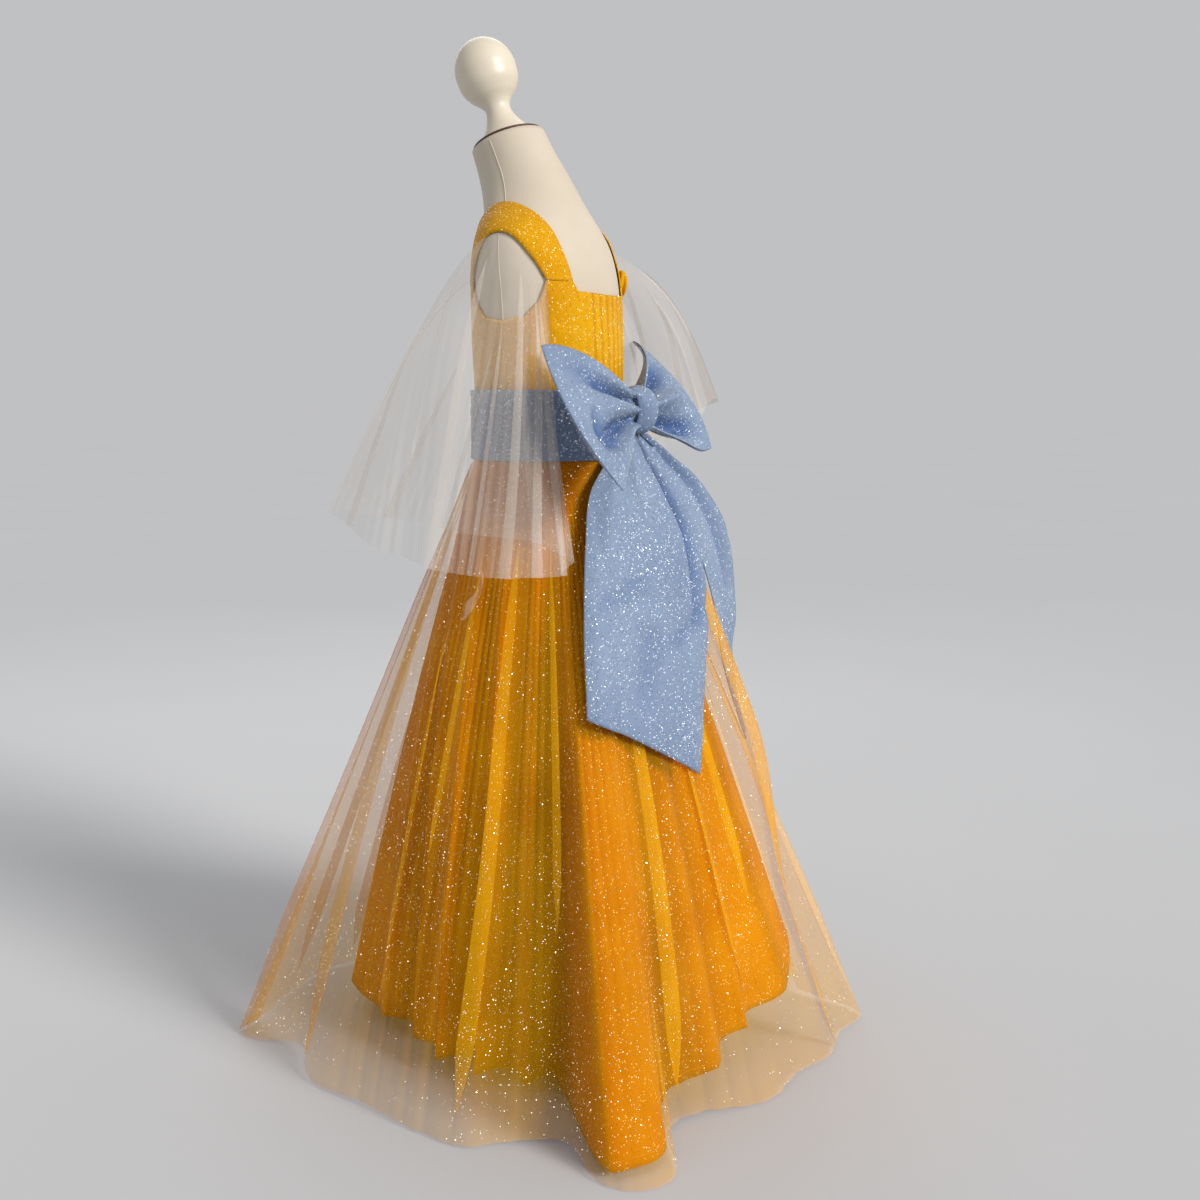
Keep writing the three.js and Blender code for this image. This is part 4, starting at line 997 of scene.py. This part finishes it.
def armholePoints(turn):
    # ring that the sleeve is sewn to: over the strap's outer edge, then under the arm along the bodice
    over = np.radians(np.minimum(turn, 180))
    outer = strap["outer"] + strap["outerSpread"] * np.sin(over)
    edge = shoulderPoint(outer, over)
    outward = unit(edge - shoulderPoint(outer - 1, over))
    upward = unit(np.stack([-outward[..., 2], np.zeros(turn.shape), outward[..., 0]], axis=-1))
    shoulder = edge + outward * sleeveShape["clear"] + upward * bodice["standOff"]
    join = bodice["joinFrom"]
    side = join - 2 * join * (turn - 180) / 180
    level = along(bodice["backEdge"][:4], 1, np.abs(side))
    under = formPoint(np.radians(side), level, bodice["standOff"] + sleeveShape["clear"])
    return np.where((turn <= 180)[..., None], shoulder, under)


def makeSleeve(sleeve):
    # bell between the armhole and the hem; gathers grow downwards, pleats and fine folds lie on them
    even = np.linspace(0, 360, sleeveShape["columns"], endpoint=False)
    fall = np.linspace(0, 1, sleeveShape["rows"])[:, None]
    shift, step, edge = pleatFolds(sleeveShape["pleats"], even, fall)
    turn = np.mod(even + shift, 360)
    rows = closedRows(sleeve["hem"])
    hem = np.stack([along(rows, column, turn) for column in (1, 2, 3)], axis=-1)
    outward = unit((hem - sleeve["hem"][:, 1:].mean(axis=0)) * (1, 1, 0))
    radian = np.radians(turn)
    deep = sleeveShape["gatherTop"] + (sleeveShape["gatherHem"] - sleeveShape["gatherTop"]) * fall
    gather = deep * fall * np.cos(radian * sleeveShape["gathers"])
    thin = sleeveShape["fine"]
    fine = ripple(sleeve["seed"], *thin["wave"], np.radians(even)) * thin["depth"] * fall ** thin["power"]
    around = np.maximum(0, np.cos(radian - math.radians(sleeveShape["billowTurn"])))
    billow = sleeve["billow"] * np.sqrt(around) * np.sin(np.pi * fall ** 0.65)
    top = armholePoints(turn)
    push = gather + fine + billow + step * fall ** 0.7
    points = top + (hem - top) * fall[..., None] + push[..., None] * outward
    points[..., 2] += sleeveShape["stand"] * billow  # the net stands up from the shoulder before it falls
    if sleeve["strap"] == "strap_right":
        points, edge = mirrored(points), edge[:, ::-1]
    density = np.clip(0.75 * edge + smoothStep(0.97, 1, fall) + 0.75 * (1 - fall) ** 1.8, 0, 1)
    piece = gridObject(sleeve["name"], points, ring=True, density=density)
    finishPiece(piece, paleTulle, [sleeve["node"]])
    return points


curl = {"turn": 109, "length": 44, "slant": 20, "width": 10, "curve": 3, "rows": 40, "columns": 12,
        "flat": (0.01, 0.05)}


def makeCurl(points):
    # end of the sleeve's edging that has come loose: it hangs aslant from the hem, thick along one side
    start = points[-1, int(curl["turn"] / 360 * points.shape[1])]
    down = np.linspace(-0.1, 1, curl["rows"])[:, None]
    across = np.linspace(0, 1, curl["columns"])
    width = curl["width"] * (0.4 + 0.6 * smoothStep(0.1, 0.6, down)) * (1 - 0.6 * smoothStep(0.7, 1, down))
    width = width + 1.2 * np.sin(14 * down)
    aside = curl["slant"] * down ** 2 + width * across
    front = curl["curve"] * np.sin(2 * np.pi * down) * (1 - across) + 3 * np.sin(6 * down + 4 * across)
    x = start[0] + 0.5 * aside + 0.87 * front
    y = start[1] - 0.87 * aside + 0.5 * front
    z = start[2] - curl["length"] * down + 0 * across
    density = 0.2 + 0.8 * (1 - smoothStep(0.1, 0.3, across)) + 0 * down
    strip = gridObject("sleeveCurl", np.stack([x, y, z], axis=2), density=density)
    finishPiece(strip, paleTulle)


sleevePoints = [makeSleeve(sleeve) for sleeve in sleeves]
makeCurl(sleevePoints[0])
print("sleeves made")


# Sewing

stitch = {"length": 2.6, "pitch": 4.0, "half": 0.28, "lift": 0.35, "sink": 0.1, "clear": 0.15}


def evenSteps(path, pitch):
    # middle and direction of each stitch along a line of points
    run = np.concatenate([[0], np.cumsum(np.linalg.norm(np.diff(path, axis=0), axis=1))])
    spots = np.arange(pitch, run[-1] - pitch, pitch)
    ends = [np.stack([np.interp(spots + s, run, path[:, k]) for k in range(3)], axis=1) for s in (-0.5, 0.5)]
    return (ends[0] + ends[1]) / 2, unit(ends[1] - ends[0])


def sewRows(name, rows, material):
    # each stitch is a small roof: two ends on the cloth and a raised middle, from a line and its outward side
    middles, aheads, outs = [], [], []
    for path, out in rows:
        middle, ahead = evenSteps(path, stitch["pitch"])
        index = np.linspace(0, len(path) - 1, len(middle)).astype(int)
        middles.append(middle)
        aheads.append(ahead)
        outs.append(out[index])
    middle, ahead, out = (np.concatenate(part) for part in (middles, aheads, outs))
    side = unit(np.cross(ahead, out))
    half, lift = stitch["half"], stitch["lift"]
    reach, sink = ahead * stitch["length"] / 2, out * stitch["sink"]
    corners = [middle - reach - sink, middle + side * half, middle + out * lift, middle - side * half,
               middle + reach - sink]
    points = np.stack(corners, axis=1) + out[:, None] * stitch["clear"]
    first = np.arange(len(middle))[:, None] * len(corners)
    faces = np.concatenate([first + np.array(f) for f in ((0, 1, 2), (0, 2, 3), (4, 2, 1), (4, 3, 2))])
    finishPiece(meshObject(name, points.reshape(-1, 3) * mm, faces), material)


def rowLine(points, row):
    return points[row], surfaceNormals(points)[row]


def columnLine(points, column):
    return points[:, column], surfaceNormals(points)[:, column]


goldRows = [rowLine(backPoints, 3), rowLine(frontPoints, 3)]
for grid in strapPoints:
    goldRows += [rowLine(grid, 1), rowLine(grid, strap["rows"] - 2)]
goldRows.append(rowLine(satinPoints, satinSkirt["rows"] - 2))
sewRows("goldStitches", goldRows, goldThread)
blueRows = [rowLine(sashPoints, 3), rowLine(sashPoints, sash["rows"] - 4)]
for grid in loopPoints:
    blueRows += [rowLine(grid, 3), rowLine(grid, loopShape["rows"] - 4)]
lastRow, lastColumn = tailShape["rows"] - 2, tailShape["columns"] - 5
for grid in tailPoints:
    blueRows += [rowLine(grid, lastRow), columnLine(grid, 4), columnLine(grid, lastColumn)]
sewRows("blueStitches", blueRows, blueThread)
print("sewing made")


# Glitter

def scatterFlakes(name, grids, count, size, material, seed, lift=0.6):
    # small tilted squares spread over grids by area, thicker in drifting patches, lifted off the cloth
    rng = np.random.default_rng(seed)
    corner = np.concatenate([g[:-1, :-1].reshape(-1, 3) for g in grids])
    edgeU = np.concatenate([(g[:-1, 1:] - g[:-1, :-1]).reshape(-1, 3) for g in grids])
    edgeV = np.concatenate([(g[1:, :-1] - g[:-1, :-1]).reshape(-1, 3) for g in grids])
    normal = np.cross(edgeV, edgeU)
    area = np.linalg.norm(normal, axis=1)
    waves, phases = rng.normal(0, 0.022, (6, 3)), rng.uniform(0, 2 * np.pi, 6)
    drift = np.mean(np.cos(corner @ waves.T + phases), axis=1)
    weight = area * (0.4 + smoothStep(-0.3, 0.7, drift) * 1.5)
    pick = rng.choice(len(area), count, p=weight / weight.sum())
    a, b = rng.uniform(0, 1, (2, count, 1))
    facing = normal[pick] / np.maximum(area[pick, None], 1e-9)
    spot = corner[pick] + edgeU[pick] * a + edgeV[pick] * b + facing * lift
    facing = facing + rng.normal(0, 0.3, (count, 3))
    side = unit(np.cross(facing, rng.normal(0, 1, (count, 3))))
    other = unit(np.cross(facing, side))
    half = (size[0] + (size[1] - size[0]) * rng.uniform(0, 1, (count, 1)) ** 3) / 2
    wide, tall = side * half, other * half
    corners = np.stack([spot + wide, spot + tall, spot - wide, spot - tall], axis=1)
    flakes = meshObject(name, corners.reshape(-1, 3) * mm, np.arange(count * 4).reshape(-1, 4))
    finishPiece(flakes, material)


scatterFlakes("satinGlitter", [satinPoints], 9000, (0.7, 1.4), goldSparkle, 81)
scatterFlakes("tulleGlitter", [tullePoints], 13000, (0.8, 1.6), whiteSparkle, 82)
scatterFlakes("bodiceGlitter", [backPoints, frontPoints, *strapPoints], 3000, (0.6, 1.1),
              goldSparkle, 83)
scatterFlakes("bowGlitter", [sashPoints, *loopPoints, *tailPoints], 11000, (0.55, 1.1),
              whiteSparkle, 84, 0.9)
print("glitter made")


# Floor, light and camera

floor = {"size": 60, "deep": (0.52, 0.529, 0.546), "light": (0.531, 0.54, 0.557)}
world = {"colour": (0.98, 0.985, 1.0, 1), "strength": 0.54}
lightTarget = (0, 0, 0.6)
lights = [
    {"name": "keyLight", "kind": "SUN", "place": (0.4, 2.2, 1.72), "power": 3.35, "angle": 20,
     "colour": (1.0, 0.97, 0.92)},
    {"name": "rimLight", "kind": "AREA", "place": (-1.6, -1.3, 2.3), "power": 12, "size": 1.4,
     "colour": (1.0, 0.99, 0.97)},
]
view = {
    "azimuth": 120, "distance": 1.75, "height": 0.765, "pitch": 7.97,
    "lens": 45.0, "sensor": 36.0,
    "yaw": math.degrees(50 / 1500),  # the pole stands 50 of 1500 units left of the picture's middle
}


def aim(obj, target):
    obj.rotation_mode = "QUATERNION"
    obj.rotation_quaternion = (Vector(target) - Vector(obj.location)).to_track_quat("-Z", "Y")


def makeFloor():
    half = floor["size"] / 2
    corners = np.array([(-half, -half, 0), (half, -half, 0), (half, half, 0), (-half, half, 0)])
    ground = meshObject("floor", corners, np.array([(0, 1, 2, 3)]))
    finish = Finish("floorPaper", Roughness=0.9, Specular_IOR_Level=0.0)
    finish.set("Base_Color", finish.ramp(finish.noise(1.2), (0.3, floor["deep"]), (0.7, floor["light"])))
    ground.data.materials.append(finish.material)


def makeLights():
    studio = bpy.data.worlds.new("studio")
    bpy.context.scene.world = studio
    studio.use_nodes = True
    background = studio.node_tree.nodes["Background"]
    background.inputs["Color"].default_value = world["colour"]
    background.inputs["Strength"].default_value = world["strength"]
    for row in lights:
        data = bpy.data.lights.new(row["name"], row["kind"])
        data.energy, data.color = row["power"], row["colour"]
        if row["kind"] == "SUN":
            data.angle = math.radians(row["angle"])
        else:
            data.size = row["size"]
        light = bpy.data.objects.new(row["name"], data)
        light.location = row["place"]
        aim(light, lightTarget)
        bpy.context.scene.collection.objects.link(light)


def makeCamera():
    # the camera stands level with the waist and looks slightly down, a little to the right of the pole
    data = bpy.data.cameras.new("camera")
    data.lens, data.sensor_width = view["lens"], view["sensor"]
    camera = bpy.data.objects.new("camera", data)
    bpy.context.scene.collection.objects.link(camera)
    bpy.context.scene.camera = camera
    azimuth, pitch = math.radians(view["azimuth"]), math.radians(view["pitch"])
    place = Vector((math.sin(azimuth), -math.cos(azimuth), 0)) * view["distance"]
    camera.location = place + Vector((0, 0, view["height"]))
    heading = azimuth - math.radians(view["yaw"])
    level = Vector((-math.sin(heading), math.cos(heading), 0)) * math.cos(pitch)
    aim(camera, camera.location + level + Vector((0, 0, -math.sin(pitch))))


makeFloor()
makeLights()
makeCamera()
bpy.context.scene.view_settings.view_transform = "Standard"
bpy.context.scene.cycles.transparent_max_bounces = 24  # the veils lie many layers deep
print("stage made")
